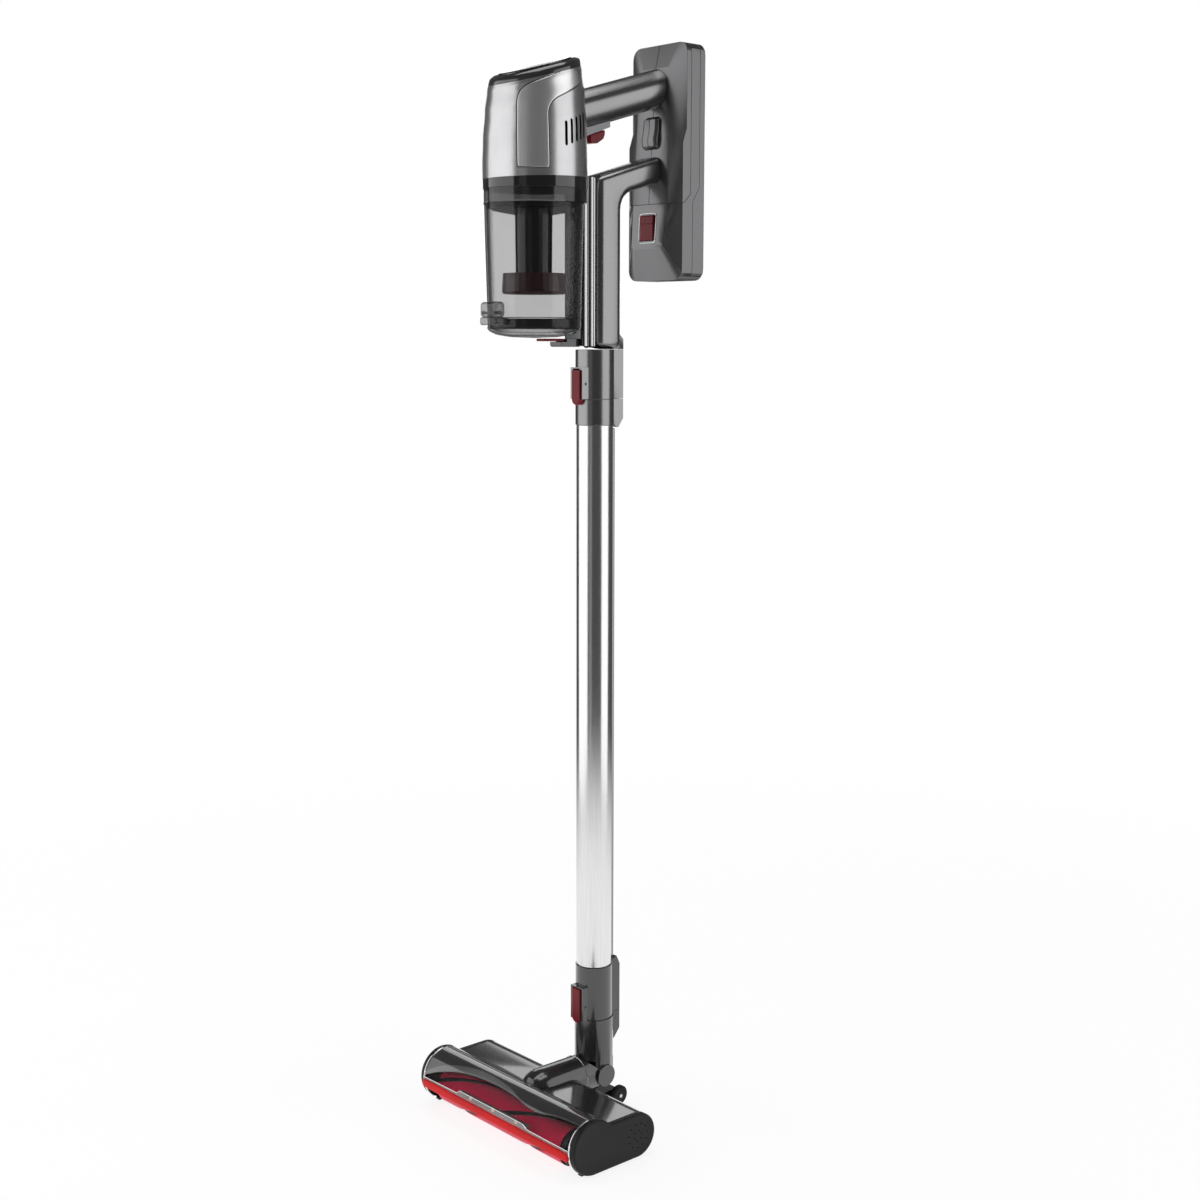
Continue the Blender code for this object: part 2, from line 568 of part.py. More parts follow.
def hollow_neck(neck):
    """Cut the neck's way for the tongue, its bore and the seats of the pivot pins."""
    slot_y, slot_z = (-0.0300, 0.0140), (0.0200, 0.0560)
    slot = box(pair(0.0, TONGUE_HALF + GAP), slot_y, slot_z)
    boolean(neck, tool("cut_tongue_way", slot))
    boolean(neck, tool("cut_neck_bore", turned(rod(NECK_BORE_R, 0.0300, 0.0900), "Z", (0.0, 0.0), 24)))
    through = turned(rod(SPIGOT_R - SPIGOT_WALL, 0.0850, 0.1450), "Z", (0.0, 0.0), 24)
    boolean(neck, tool("cut_neck_spigot", through))
    seat = turned(rod(PIN_R + GAP, *pair(0.0, PIN_OUT + GAP)), "X", (PIVOT_Y, PIVOT_Z), 16)
    boolean(neck, tool("cut_pin_seat", seat))


# ---------------------------------------------------------------- wand

def make_wand_tube():
    """Aluminium tube and the cable channel along its back."""
    profile = sleeve(TUBE_R, TUBE_R - TUBE_WALL, TUBE_LOW, TUBE_HIGH)
    add("wand_tube", turned(profile, "Z", (0.0, 0.0), ROUND), "aluminium")
    solid = box(pair(0.0, CHANNEL_HALF), (RIB_ROOT, CHANNEL_BACK), CHANNEL_Z)
    channel = add("wand_channel", solid, "gunmetal")
    bevel(channel, 0.0010, 2)
    clear = turned(rod(TUBE_R + GAP, TUBE_LOW - 0.0100, TUBE_HIGH + 0.0100), "Z", (0.0, 0.0), ROUND)
    boolean(channel, tool("cut_channel_back", clear))


def lever_housing(collar, name, low, high):
    """Bump round the release lever, with the lever's pocket."""
    outline = [(-BUMP_HALF, low), (BUMP_HALF, low), (BUMP_HALF, high), (-BUMP_HALF, high)]
    bump = prism(outline, "Y", BUMP_FRONT, -0.0140)
    boolean(collar, tool(f"join_{name}_bump", bump), "UNION")
    pocket = box(pair(0.0, LEVER_HALF + GAP), (-0.0300, -0.0170), (low - 0.0100, high - 0.0012))
    boolean(collar, tool(f"cut_{name}_pocket", pocket))


def pin_hole(collar, name, pin_z):
    """Hole across the bump for the lever's pin."""
    hole = turned(rod(LEVER_PIN_R + GAP, *pair(0.0, 0.0150)), "X", (LEVER_PIN_Y, pin_z), 12)
    boolean(collar, tool(f"cut_{name}_pin_hole", hole))


def make_collar(name, ends, finish, rib):
    """A joint collar round the wand's axis, with a rear rib that houses the contacts."""
    collar = add(name, turned(rod(COLLAR_R, *ends), "Z", (0.0, 0.0), ROUND), finish)
    boolean(collar, tool(f"join_{name}_rib", prism(rib, "X", *pair(0.0, RIB_HALF))), "UNION")
    return collar


def add_spigot(collar, name, radius, low, high):
    """Join a round plug that reaches into the next part."""
    spigot = turned(rod(radius, low, high), "Z", (0.0, 0.0), 24)
    boolean(collar, tool(f"join_{name}", spigot), "UNION")


def bore_through(collar, name, radius, low, high):
    """Cut a round way along the wand's axis."""
    boolean(collar, tool(f"cut_{name}", turned(rod(radius, low, high), "Z", (0.0, 0.0), 24)))


def make_lever(name, low, high, pin_z, seam, clear):
    """Rocking release lever with a rounded foot that clears the part below the seam, and its pin."""
    foot = (0.0, low + LEVER_HALF)
    outline = [(-LEVER_HALF, high)] + arc(foot, LEVER_HALF, 180.0, 360.0, 8) + [(LEVER_HALF, high)]
    lever = add(name, prism(outline, "Y", LEVER_FRONT, LEVER_BACK), "red", (0.0, LEVER_PIN_Y, pin_z))
    bevel(lever, 0.0010, 2, 60.0)
    below = turned(rod(clear + 2 * GAP, low - 0.0050, seam + 0.0010), "Z", (0.0, 0.0), ROUND)
    boolean(lever, tool(f"cut_{name}_below", below))
    place = (LEVER_PIN_Y, pin_z)
    hole = turned(rod(LEVER_PIN_R + GAP, *pair(0.0, 0.0090)), "X", place, 12)
    boolean(lever, tool(f"cut_{name}_pin", hole))
    pin = turned(rod(LEVER_PIN_R, *pair(0.0, LEVER_PIN_HALF)), "X", place, 12)
    add(name.replace("release_lever", "lever_pin"), pin, "steel")


def make_lower_collar():
    """Collar at the foot of the tube, with its lever."""
    low, high = LOW_COLLAR_Z
    rib = [(RIB_ROOT, low), (LOW_RIB_BACK, low), (LOW_RIB_BACK, high - 0.0060)]
    rib += [(0.0262, high + 0.0030), (RIB_ROOT, high - 0.0010)]
    collar = make_collar("lower_collar", LOW_COLLAR_Z, "graphite", rib)
    add_spigot(collar, "low_plug", TUBE_R - TUBE_WALL - GAP, high - 0.0100, high + 0.0150)
    lever_housing(collar, "low", low, LOW_BUMP_TOP)
    bore_through(collar, "low_bore", BORE_R, low - 0.0100, high + 0.0300)
    pin_z = 0.1164
    pin_hole(collar, "low", pin_z)
    make_lever("lower_release_lever", low - 0.0029, LOW_BUMP_TOP - 0.0018, pin_z, low, NECK_R)


def make_top_collar():
    """Collar at the head of the tube, with the spigot that the handheld unit takes."""
    low, high = TOP_COLLAR_Z
    rib = [(RIB_ROOT, low + 0.0015), (0.0262, low - 0.0030), (HIGH_RIB_BACK, low + 0.0060)]
    rib += [(HIGH_RIB_BACK, high), (RIB_ROOT, high)]
    top = make_collar("wand_top_collar", TOP_COLLAR_Z, "gunmetal", rib)
    add_spigot(top, "top_spigot", SPIGOT_R, high - 0.0100, high + 0.0380)
    add_spigot(top, "top_plug", TUBE_R - TUBE_WALL - GAP, low - 0.0120, low + 0.0100)
    bore_through(top, "top_bore", SPIGOT_R - SPIGOT_WALL, low - 0.0200, high + 0.0500)


# ---------------------------------------------------------------- handheld unit

def make_nozzle():
    """Socket that takes the wand's spigot, with its lever and contact rib."""
    low, high = NOZZLE_Z
    rib = [(RIB_ROOT, low), (HIGH_RIB_BACK, low), (HIGH_RIB_BACK, high), (RIB_ROOT, high)]
    collar = make_collar("nozzle_collar", NOZZLE_Z, "gunmetal", rib)
    lever_housing(collar, "high", low, HIGH_BUMP_TOP)
    bore_through(collar, "high_bore", BORE_R, low - 0.0100, high + 0.0100)
    pin_z = 0.7626
    pin_hole(collar, "high", pin_z)
    make_lever("upper_release_lever", low - 0.0060, HIGH_BUMP_TOP - 0.0026, pin_z, low, COLLAR_R)


def body_clearance(radius):
    """The round space that the motor housing and the dust cup take in front of the spine."""
    return turned(rod(radius, 0.7600, 1.1500), "Z", (0.0, BODY_Y), 64)


def spine_outline():
    """Side outline of the duct and the strut that runs up from it to the battery slab."""
    seam, bend_r, strut_end = SPINE_SEAM + 2 * GAP, 0.0200, 0.0790
    outline = [(seam, NOZZLE_Z[1] + GAP), (SPINE_REAR, NOZZLE_Z[1] + GAP)]
    outline += arc((SPINE_REAR + bend_r, 0.9330), bend_r, 180.0, 107.0, 5)
    outline += [(strut_end, 0.9640), (strut_end, 0.9905), (seam, SPINE_TOP)]
    return outline


def make_spine():
    """Air duct behind the cup: rear casting with the strut, and the fluted front strip."""
    low = NOZZLE_Z[1] + GAP
    duct = add("spine_duct", prism(spine_outline(), "X", *pair(0.0, SPINE_HALF)), "gunmetal")
    bevel(duct, 0.0080, 4)
    rib = [(RIB_ROOT, low), (HIGH_RIB_BACK, low), (HIGH_RIB_BACK, 0.8070)]
    rib += [(0.0200, 0.8190), (RIB_ROOT, 0.8190)]
    boolean(duct, tool("join_spine_rib", prism(rib, "X", *pair(0.0, RIB_HALF))), "UNION")
    bore = turned(rod(DUCT_BORE_R, low - 0.0100, INLET_Z[1]), "Z", (0.0, DUCT_BORE_Y), 32)
    boolean(duct, tool("cut_duct_bore", bore))
    port = tool("cut_duct_port", box(pair(0.0, INLET_HALF), (-0.0300, DUCT_BORE_Y), INLET_Z))
    boolean(duct, port)
    boolean(duct, tool("cut_slab_side", slab_solid(-GAP)))
    front, seam, foot = SPINE_FRONT - 0.0150, SPINE_SEAM - 2 * GAP, low + 0.0030
    side = [(front, foot), (seam, foot), (seam, SPINE_TOP - 0.0015), (front, SPINE_TOP - 0.0045)]
    strip = add("spine_front", prism(side, "X", *pair(0.0, SPINE_HALF - 0.0010)), "silver")
    boolean(strip, tool("cut_body_side", body_clearance(BODY_R + GAP)))
    boolean(strip, port)


def housing_rings(inset, low):
    """Rings of the motor housing; they lean from level at the foot to the sloping top."""
    shares = ((0.0, BODY_R), (0.22, 0.0506), (0.45, 0.0498), (0.7, 0.0478), (0.88, 0.0456),
              (0.96, 0.0440), (0.99, 0.0420), (1.0, 0.0395))
    rings = []
    for share, radius in shares:
        ring = []
        for x, y in circle((0.0, BODY_Y), radius - inset, WIDE):
            top = TOP_Z - inset + TOP_SLOPE * (y - BODY_Y)
            ring.append((x, y, low + (top - low) * share))
        rings.append(ring)
    return rings


def make_motor_housing():
    """Motor casing, closed below by its band, with the vents and the glossy top panel."""
    inner = housing_rings(BODY_WALL, BODY_LOW)
    outer = housing_rings(0.0, BODY_LOW)
    housing = add("motor_housing", loft(inner[::-1] + outer), "silver")
    for i in range(VENT_COUNT):
        angle = math.radians(VENT_START + VENT_PITCH * i)
        direction = Vector((math.cos(angle), math.sin(angle), 0.0))
        heights = (0.9853 + 0.0023 * i, 1.0080 + 0.0025 * i)      # they rise with the sloping top
        vent_solid = box((0.0400, 0.0560), pair(0.0, VENT_HALF), heights)
        bmesh.ops.rotate(vent_solid, verts=vent_solid.verts[:],
                         matrix=direction.to_track_quat("X", "Z").to_matrix())
        bmesh.ops.translate(vent_solid, verts=vent_solid.verts[:], vec=(0.0, BODY_Y, 0.0))
        boolean(housing, tool(f"cut_vent_{i}", vent_solid))
    panel = []
    for lift, radius in ((GAP, PANEL_R), (0.0012, PANEL_R), (0.0016, PANEL_R - 0.0010)):
        edge = circle((0.0, BODY_Y), radius, ROUND)
        panel.append([(x, y, TOP_Z + lift + TOP_SLOPE * (y - BODY_Y)) for x, y in edge])
    add("top_panel", loft(panel), "black")
    band = sleeve(BODY_R - 0.0004, 0.0462, CUP_HIGH + GAP, BODY_LOW - GAP)
    add("filter_band", turned(band, "Z", (0.0, BODY_Y), WIDE), "smoke")


def make_motor():
    """Suction motor with a stepped case, and the impeller below it."""
    centre = (0.0, BODY_Y)
    foot, case_r, top = 0.9680, 0.0360, 1.0300
    motor = [(0.0, foot), (0.0030, foot), (0.0030, foot + 0.0040), (case_r - 0.0030, foot + 0.0040)]
    motor += [(case_r, foot + 0.0100), (case_r, top - 0.0100), (0.0200, top), (0.0, top)]
    add("suction_motor", turned(motor, "Z", centre, 24), "black")
    fan_low, fan_high, fan_r = 0.9560, 0.9660, 0.0320
    fan = [(0.0, fan_low), (0.0100, fan_low), (fan_r, fan_high - 0.0040), (fan_r, fan_high), (0.0, fan_high)]
    add("impeller", turned(fan, "Z", centre, 24), "aluminium", (0.0, BODY_Y, 0.9610))


def grip_bar(radius, start, end, steps=ROUND):
    """A round bar along the handle's sloping axis."""
    made = turned(rod(radius, start, end), "Y", (0.0, 0.0), steps)
    slope = Vector((0.0, 1.0, GRIP_SLOPE)).normalized()
    turn = Vector((0.0, 1.0, 0.0)).rotation_difference(slope).to_matrix()
    bmesh.ops.rotate(made, verts=made.verts[:], matrix=turn)
    bmesh.ops.translate(made, verts=made.verts[:], vec=(0.0, GRIP_Y, GRIP_Z))
    return made


def make_handle():
    """Handle between the housing and the slab, with the trigger under its front end."""
    housing_space = tool("cut_housing_space", loft(housing_rings(-GAP, BODY_LOW)))
    slab_space = tool("cut_slab_space", slab_solid(-GAP))
    handle = add("handle", grip_bar(GRIP_R, *GRIP_SPAN), "gunmetal")
    past_ends = (GRIP_SPAN[0] - 0.0080, GRIP_SPAN[1] + 0.0050)
    boolean(handle, tool("cut_grip_bore", grip_bar(GRIP_R - GRIP_WALL, *past_ends)))
    boolean(handle, housing_space)
    boolean(handle, slab_space)
    outline = [(-0.0330, 0.9968), (0.0117, 1.0128), (0.0117, 1.0260), (-0.0330, 1.0200)]
    block = add("trigger_block", prism(outline, "X", *pair(0.0, 0.0095)), "silver")
    boolean(block, tool("cut_grip_space", grip_bar(GRIP_R + GAP, *past_ends)))
    boolean(block, housing_space)
    pocket = [(-0.0130, 0.9850), (0.0076, 0.9850), (0.0076, 1.0138), (-0.0130, 1.0075)]
    boolean(block, tool("cut_trigger_pocket", prism(pocket, "X", *pair(0.0, TRIGGER_HALF + GAP))))
    outline = [(-0.0126, 0.9958), (-0.0020, 0.9966), (0.0056, 1.0015), (0.0073, 1.0060)]
    outline += [(0.0073, 1.0102), (-0.0126, 1.0038)]
    trigger = add("trigger", prism(outline, "X", *pair(0.0, TRIGGER_HALF)), "red", (0.0, -0.0020, 1.0030))
    bevel(trigger, 0.0012, 2)


# ---------------------------------------------------------------- battery slab

def step_back(z):
    """How far the slab's front edge stands back above the step."""
    share = min(1.0, max(0.0, (z - STEP_LOW) / (STEP_HIGH - STEP_LOW)))
    return SLAB_SIDE_Y - SLAB_STEP + SLAB_STEP * share


def face_depth(z):
    """Depth of the raised front face, which leans back towards its top."""
    share = (z - FACE_LOW) / (FACE_HIGH - FACE_LOW)
    return FACE_Y_LOW + (FACE_Y_HIGH - FACE_Y_LOW) * share


def slab_ring(half, low, high, radius, depth):
    """One rounded rectangle of the slab, with points at the step; depth gives its Y at a height."""
    corners = rounded(half, low, high, radius)
    upper = len(corners) // 2
    outline = corners[:upper] + [(-half, STEP_HIGH), (-half, STEP_LOW)]
    outline += corners[upper:] + [(half, STEP_LOW), (half, STEP_HIGH)]
    return [(x, depth(z), z) for x, z in outline]


def slab_solid(inset):
    """The whole slab: flat back with a small chamfer, straight sides, bevelled raised face."""
    half, low, high = SLAB_HALF - inset, SLAB_LOW + inset, SLAB_HIGH - inset
    back = SLAB_BACK - inset
    inner, corner = 0.0032, 0.0110
    back_ring = slab_ring(half - inner, low + inner, high - inner, 0.0080, lambda z: back)
    rings = [back_ring, slab_ring(half, low, high, corner, lambda z: back - 0.0034)]
    rings.append(slab_ring(half, low, high, corner, lambda z: step_back(z) + inset))
    face_z = (FACE_LOW + inset, FACE_HIGH - inset)
    rings.append(slab_ring(FACE_HALF - inset, *face_z, 0.0050, lambda z: face_depth(z) + inset))
    solid = loft(rings)
    bmesh.ops.triangulate(solid, faces=[face for face in solid.faces if len(face.verts) == 4])
    return solid


def clip_to(target, name, outline, x_range):
    """Keep only the part of the target inside a side outline."""
    boolean(target, tool(name, prism(outline, "X", *x_range)), "INTERSECT")


def make_slab_housing():
    """Left and right halves of the handle's rear housing, with the finger rib between grip and strut."""
    low, front, above = PACK_TOP + GAP, 0.0400, 1.1200
    region = [(front, low), (0.0840, low), (PACK_FRONT, low + 0.0090), (PACK_FRONT, above), (front, above)]
    root = 0.0800
    rib = [(root, 0.9950), (0.0715, 0.9980), (0.0705, 1.0060), (0.0728, 1.0160), (0.0735, 1.0260)]
    rib.append((root, 1.0300))
    for side, word in ((1, "left"), (-1, "right")):
        half = add(f"slab_housing_{word}", slab_solid(0.0), "gunmetal")
        rib_tool = tool(f"join_finger_rib_{word}", prism(rib, "X", *pair(0.0, 0.0110)))
        bevel(rib_tool, 0.0050, 3, 60.0)
        boolean(half, rib_tool, "UNION")
        x_range = sorted((side * GAP / 2, side * 0.0500))
        clip_to(half, f"clip_housing_{word}", region, x_range)
        boolean(half, tool(f"cut_housing_inside_{word}", slab_solid(SLAB_WALL)))


def make_battery():
    """Removable battery: two case shells, the release button and the cells."""
    front, below, above, behind = 0.0400, 0.8500, 1.1200, 0.1300
    front_region = [(front, below), (PACK_SEAM, below), (PACK_SEAM, 0.9440), (PACK_SPLIT, 0.9580)]
    front_region += [(PACK_SPLIT, above), (PACK_FRONT + GAP, above), (PACK_FRONT + GAP, PACK_TOP + 0.0090)]
    front_region += [(0.0841, PACK_TOP), (front, PACK_TOP)]
    rear_region = [(PACK_SEAM + GAP, below), (behind, below), (behind, above), (PACK_SPLIT + GAP, above)]
    rear_region += [(PACK_SPLIT + GAP, 0.9579), (PACK_SEAM + GAP, 0.9439)]
    cell_front, cell_back, cell_top, ledge_y, ledge_z = 0.0840, 0.1139, 1.0960, 0.0944, 0.9393
    inside = [(cell_front, 0.8700), (cell_back, 0.8700), (cell_back, cell_top), (ledge_y, cell_top)]
    inside += [(ledge_y, ledge_z), (cell_front, ledge_z)]
    cavity = tool("cut_cells_space", prism(inside, "X", *pair(0.0, 0.0371)))
    for word, region in (("front", front_region), ("rear", rear_region)):
        shell = add(f"battery_case_{word}", slab_solid(0.0), "gunmetal")
        clip_to(shell, f"clip_case_{word}", region, pair(0.0, 0.0500))
        boolean(shell, cavity)
    pocket = box(pair(0.0, BUTTON_HALF + 0.0004), (0.0600, 0.0765), pair(BUTTON_Z, 0.0129))
    boolean(bpy.data.objects["battery_case_front"], tool("cut_button_pocket", pocket))
    cap = box(pair(0.0, BUTTON_HALF), (0.0695, 0.0742), pair(BUTTON_Z, 0.0125))
    button = add("battery_button", cap, "red", (0.0, 0.0700, BUTTON_Z))
    bevel(button, 0.0012, 2)
    make_cells()


def make_cells():
    """Seven cells in two rows, welded to one connecting strip."""
    y = 0.1040
    strip = box(pair(0.0, 0.0320), (y - 0.0092, y - 0.0088), (0.8780, 1.0000))
    pack = add("cell_pack", strip, "cell")
    pitch = 2 * CELL_R + 0.0001
    rows = ((0.8712, (-1.5, -0.5, 0.5, 1.5)), (0.9372, (-1.0, 0.0, 1.0)))
    for row, (low, places) in enumerate(rows):
        for i, place in enumerate(places):
            cell = turned(rod(CELL_R, low, low + CELL_LENGTH), "Z", (place * pitch, y), 20)
            boolean(pack, tool(f"join_cell_{row}_{i}", cell), "UNION")


# ---------------------------------------------------------------- dust cup

def make_cup():
    """Clear cup with its air inlet and the hinge knuckle for the lid."""
    centre = (0.0, CUP_Y)
    wall = [(CUP_R_LOW - CUP_WALL, CUP_LOW), (CUP_R_LOW, CUP_LOW), (CUP_R_HIGH, CUP_HIGH)]
    wall.append((CUP_R_HIGH - CUP_WALL, CUP_HIGH))
    cup = add("dust_cup", turned(wall, "Z", centre, WIDE), "smoke")
    knuckle = box(pair(0.0, 0.0110), (HINGE_Y - 0.0055, HINGE_Y + 0.0085), (0.8270, 0.8420))
    knuckle = tool("join_knuckle", knuckle)
    bevel(knuckle, 0.0030, 3, 60.0)
    boolean(cup, knuckle, "UNION")
    slot = box(pair(0.0, HINGE_LEG_HALF + GAP), (HINGE_Y - 0.0195, HINGE_Y + 0.0050), (0.8200, 0.8370))
    boolean(cup, tool("cut_knuckle_slot", slot))
    way = turned(rod(HINGE_PIN_R + GAP, *pair(0.0, 0.0150)), "X", (HINGE_Y, HINGE_Z), 12)
    boolean(cup, tool("cut_knuckle_pin", way))
    inside = turned(rod(CUP_R_LOW - CUP_WALL, CUP_LOW - 0.0060, 0.9200), "Z", centre, WIDE)
    boolean(cup, tool("cut_cup_inside", inside))
    inlet = box(pair(0.0, INLET_HALF), (-0.0450, -0.0200), INLET_Z)
    boolean(cup, tool("cut_cup_inlet", inlet))


def make_cyclone():
    """Seal ring, the cyclone's stepped core and its flared skirt, inside the cup."""
    centre = (0.0, CUP_Y)
    add("cup_seal", turned(sleeve(0.0460, 0.0440, SEAL_LOW, SEAL_TOP), "Z", centre, WIDE), "black")
    body = [(CORE_BORE_R, CORE_LOW), (0.0175, CORE_LOW), (0.0180, 0.9240), (0.0400, 0.9280)]
    body += [(0.0436, SEAL_LOW), (0.0436, SEAL_TOP), (CORE_BORE_R, SEAL_TOP)]
    add("cyclone_body", turned(body, "Z", centre, ROUND), "black")
    rim, brim = 0.8515, 0.8495
    skirt = [(CORE_BORE_R, rim), (0.0295, brim), (0.0310, rim), (0.0300, CORE_LOW - GAP)]
    skirt.append((CORE_BORE_R, CORE_LOW - GAP))
    add("cyclone_skirt", turned(skirt, "Z", centre, ROUND), "red")


def make_lid():
    """Hinged bottom lid, its pin, and the tail and catch that hold it shut."""
    centre = (0.0, CUP_Y)
    top = CUP_LOW - GAP
    wall_in = CUP_R_LOW - 0.0022
    bowl = [(0.0, LID_LOW), (0.0220, LID_LOW + 0.0006), (0.0360, LID_LOW + 0.0028)]
    bowl += [(0.0430, LID_LOW + 0.0056), (CUP_R_LOW, LID_LOW + 0.0080), (CUP_R_LOW, top), (wall_in, top)]
    bowl += [(wall_in, LID_LOW + 0.0090), (0.0340, LID_LOW + 0.0050), (0.0, LID_LOW + 0.0026)]
    pivot = (0.0, HINGE_Y, HINGE_Z)
    lid = add("bottom_lid", turned(bowl, "Z", centre, WIDE), "smoke", pivot)
    axis = (HINGE_Y, HINGE_Z)
    leg = [(-0.1225, 0.8170), (-0.1225, 0.8245), (HINGE_Y + 0.0040, 0.8270)]
    leg += arc(axis, HINGE_LEG_R, 0.0, 180.0, 8) + [(HINGE_Y - HINGE_LEG_R, 0.8190)]
    boolean(lid, tool("join_lid_leg", prism(leg, "X", *pair(0.0, HINGE_LEG_HALF))), "UNION")
    way = turned(rod(HINGE_PIN_R + GAP, *pair(0.0, 0.0150)), "X", axis, 12)
    boolean(lid, tool("cut_lid_pin", way))
    add("lid_hinge_pin", turned(rod(HINGE_PIN_R, *pair(0.0, 0.0108)), "X", axis, 12), "steel")
    low, step, high = 0.7990, 0.8040, 0.8070
    tail = [(-0.0500, low), (-0.0270, low), (-0.0270, high), (-0.0440, high), (-0.0440, step)]
    tail += [(-0.0515, step), (-0.0515, low + 0.0015)]
    add("lid_tail", prism(tail, "X", *pair(0.0, 0.0085)), "gunmetal", pivot)
    bar = box(pair(0.0, 0.0060), (-0.0710, -0.0450), (step + 0.0004, high))
    slider = add("lid_slider", bar, "red", (0.0, -0.0580, 0.8057))
    bevel(slider, 0.0008, 2)


def make_vacuum():
    """Build every part."""
    make_casing()
    make_base_plate()
    make_end_caps()
    make_bumper()
    make_lights()
    make_brush()
    make_brush_drive()
    make_head_wheels()
    make_front_rollers()
    make_elbow()
    make_yoke()
    make_neck()
    make_wand_tube()
    make_lower_collar()
    make_top_collar()
    make_nozzle()
    make_spine()
    make_motor_housing()
    make_motor()
    make_handle()
    make_slab_housing()
    make_battery()
    make_cup()
    make_cyclone()
    make_lid()


make_vacuum()
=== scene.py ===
"""Looks of the cordless stick vacuum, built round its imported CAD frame.

Lengths are metres, +Z is up and the front of the floor head is towards -Y.
"""
import json
import math

import bmesh
import bpy
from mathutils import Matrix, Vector


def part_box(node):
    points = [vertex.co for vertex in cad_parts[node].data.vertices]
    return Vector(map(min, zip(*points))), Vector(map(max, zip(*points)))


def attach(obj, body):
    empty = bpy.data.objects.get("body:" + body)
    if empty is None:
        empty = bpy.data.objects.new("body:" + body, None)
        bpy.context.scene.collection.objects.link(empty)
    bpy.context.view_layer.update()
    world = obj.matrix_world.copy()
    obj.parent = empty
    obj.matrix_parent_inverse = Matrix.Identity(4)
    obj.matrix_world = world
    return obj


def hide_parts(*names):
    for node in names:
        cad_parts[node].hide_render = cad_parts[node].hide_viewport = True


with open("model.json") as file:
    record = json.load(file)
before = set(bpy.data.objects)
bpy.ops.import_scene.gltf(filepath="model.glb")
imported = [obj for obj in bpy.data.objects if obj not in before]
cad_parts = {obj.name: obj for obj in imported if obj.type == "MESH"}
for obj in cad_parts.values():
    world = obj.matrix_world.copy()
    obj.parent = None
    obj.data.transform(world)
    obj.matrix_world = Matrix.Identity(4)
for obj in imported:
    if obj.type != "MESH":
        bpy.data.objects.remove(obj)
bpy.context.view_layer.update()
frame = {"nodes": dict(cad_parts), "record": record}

GAP = 0.0003                     # clearance between neighbouring CAD solids
FULL_TURN = 2.0 * math.pi
ASKEW = Vector((0.03, 0.17, 0.98))           # a direction that no thin bead runs along


# ---------------------------------------------------------------- materials

def new_material(name):
    """An empty node material with its shader and object coordinates."""
    made = bpy.data.materials.new(name)
    made.use_nodes = True
    tree = made.node_tree
    shader = tree.nodes["Principled BSDF"]
    where = tree.nodes.new("ShaderNodeTexCoord").outputs["Object"]
    return made, tree, shader, where


def stretched(tree, where, scale):
    """Coordinates scaled per axis."""
    mapping = tree.nodes.new("ShaderNodeMapping")
    mapping.inputs["Scale"].default_value = scale
    tree.links.new(where, mapping.inputs["Vector"])
    return mapping.outputs["Vector"]


def noise(tree, where, scale, detail=3.0):
    """A noise value."""
    node = tree.nodes.new("ShaderNodeTexNoise")
    node.inputs["Scale"].default_value = scale
    node.inputs["Detail"].default_value = detail
    tree.links.new(where, node.inputs["Vector"])
    return node.outputs["Fac"]


def ramp(tree, value, stops):
    """Colours or greys spread along a value."""
    node = tree.nodes.new("ShaderNodeValToRGB")
    while len(node.color_ramp.elements) < len(stops):
        node.color_ramp.elements.new(0.5)
    for element, (place, colour) in zip(node.color_ramp.elements, stops):
        element.position = place
        element.color = (*colour, 1.0)
    tree.links.new(value, node.inputs["Fac"])
    return node.outputs["Color"]


def spread_value(tree, value, low, high):
    """A 0-1 value spread between two numbers."""
    node = tree.nodes.new("ShaderNodeMapRange")
    node.inputs["To Min"].default_value = low
    node.inputs["To Max"].default_value = high
    tree.links.new(value, node.inputs["Value"])
    return node.outputs["Result"]


def bump(tree, height, strength, distance, base=None):
    """A bumped normal."""
    node = tree.nodes.new("ShaderNodeBump")
    node.inputs["Strength"].default_value = strength
    node.inputs["Distance"].default_value = distance
    tree.links.new(height, node.inputs["Height"])
    if base:
        tree.links.new(base, node.inputs["Normal"])
    return node.outputs["Normal"]


def shaded(colour, factor):
    """A colour made darker or lighter."""
    return tuple(min(1.0, c * factor) for c in colour)


def surface_value(tree, name):
    """A number carried by the mesh."""
    node = tree.nodes.new("ShaderNodeAttribute")
    node.attribute_name = name
    return node.outputs["Fac"]


def step(tree, value, start, end, low=0.0, high=1.0):
    """A smooth step between two values."""
    node = tree.nodes.new("ShaderNodeMapRange")
    node.interpolation_type = "SMOOTHSTEP"
    node.inputs["From Min"].default_value = start
    node.inputs["From Max"].default_value = end
    node.inputs["To Min"].default_value = low
    node.inputs["To Max"].default_value = high
    tree.links.new(value, node.inputs["Value"])
    return node.outputs["Result"]


def size_of(tree, value):
    """The value without its sign."""
    node = tree.nodes.new("ShaderNodeMath")
    node.operation = "ABSOLUTE"
    tree.links.new(value, node.inputs[0])
    return node.outputs[0]


def mixed(tree, factor, one, two):
    """Two colours mixed; each is a socket or plain numbers."""
    node = tree.nodes.new("ShaderNodeMix")
    node.data_type = "RGBA"
    tree.links.new(factor, node.inputs[0])
    for socket, colour in ((node.inputs[6], one), (node.inputs[7], two)):
        if isinstance(colour, tuple):
            socket.default_value = (*colour, 1.0)
        else:
            tree.links.new(colour, socket)
    return node.outputs[2]


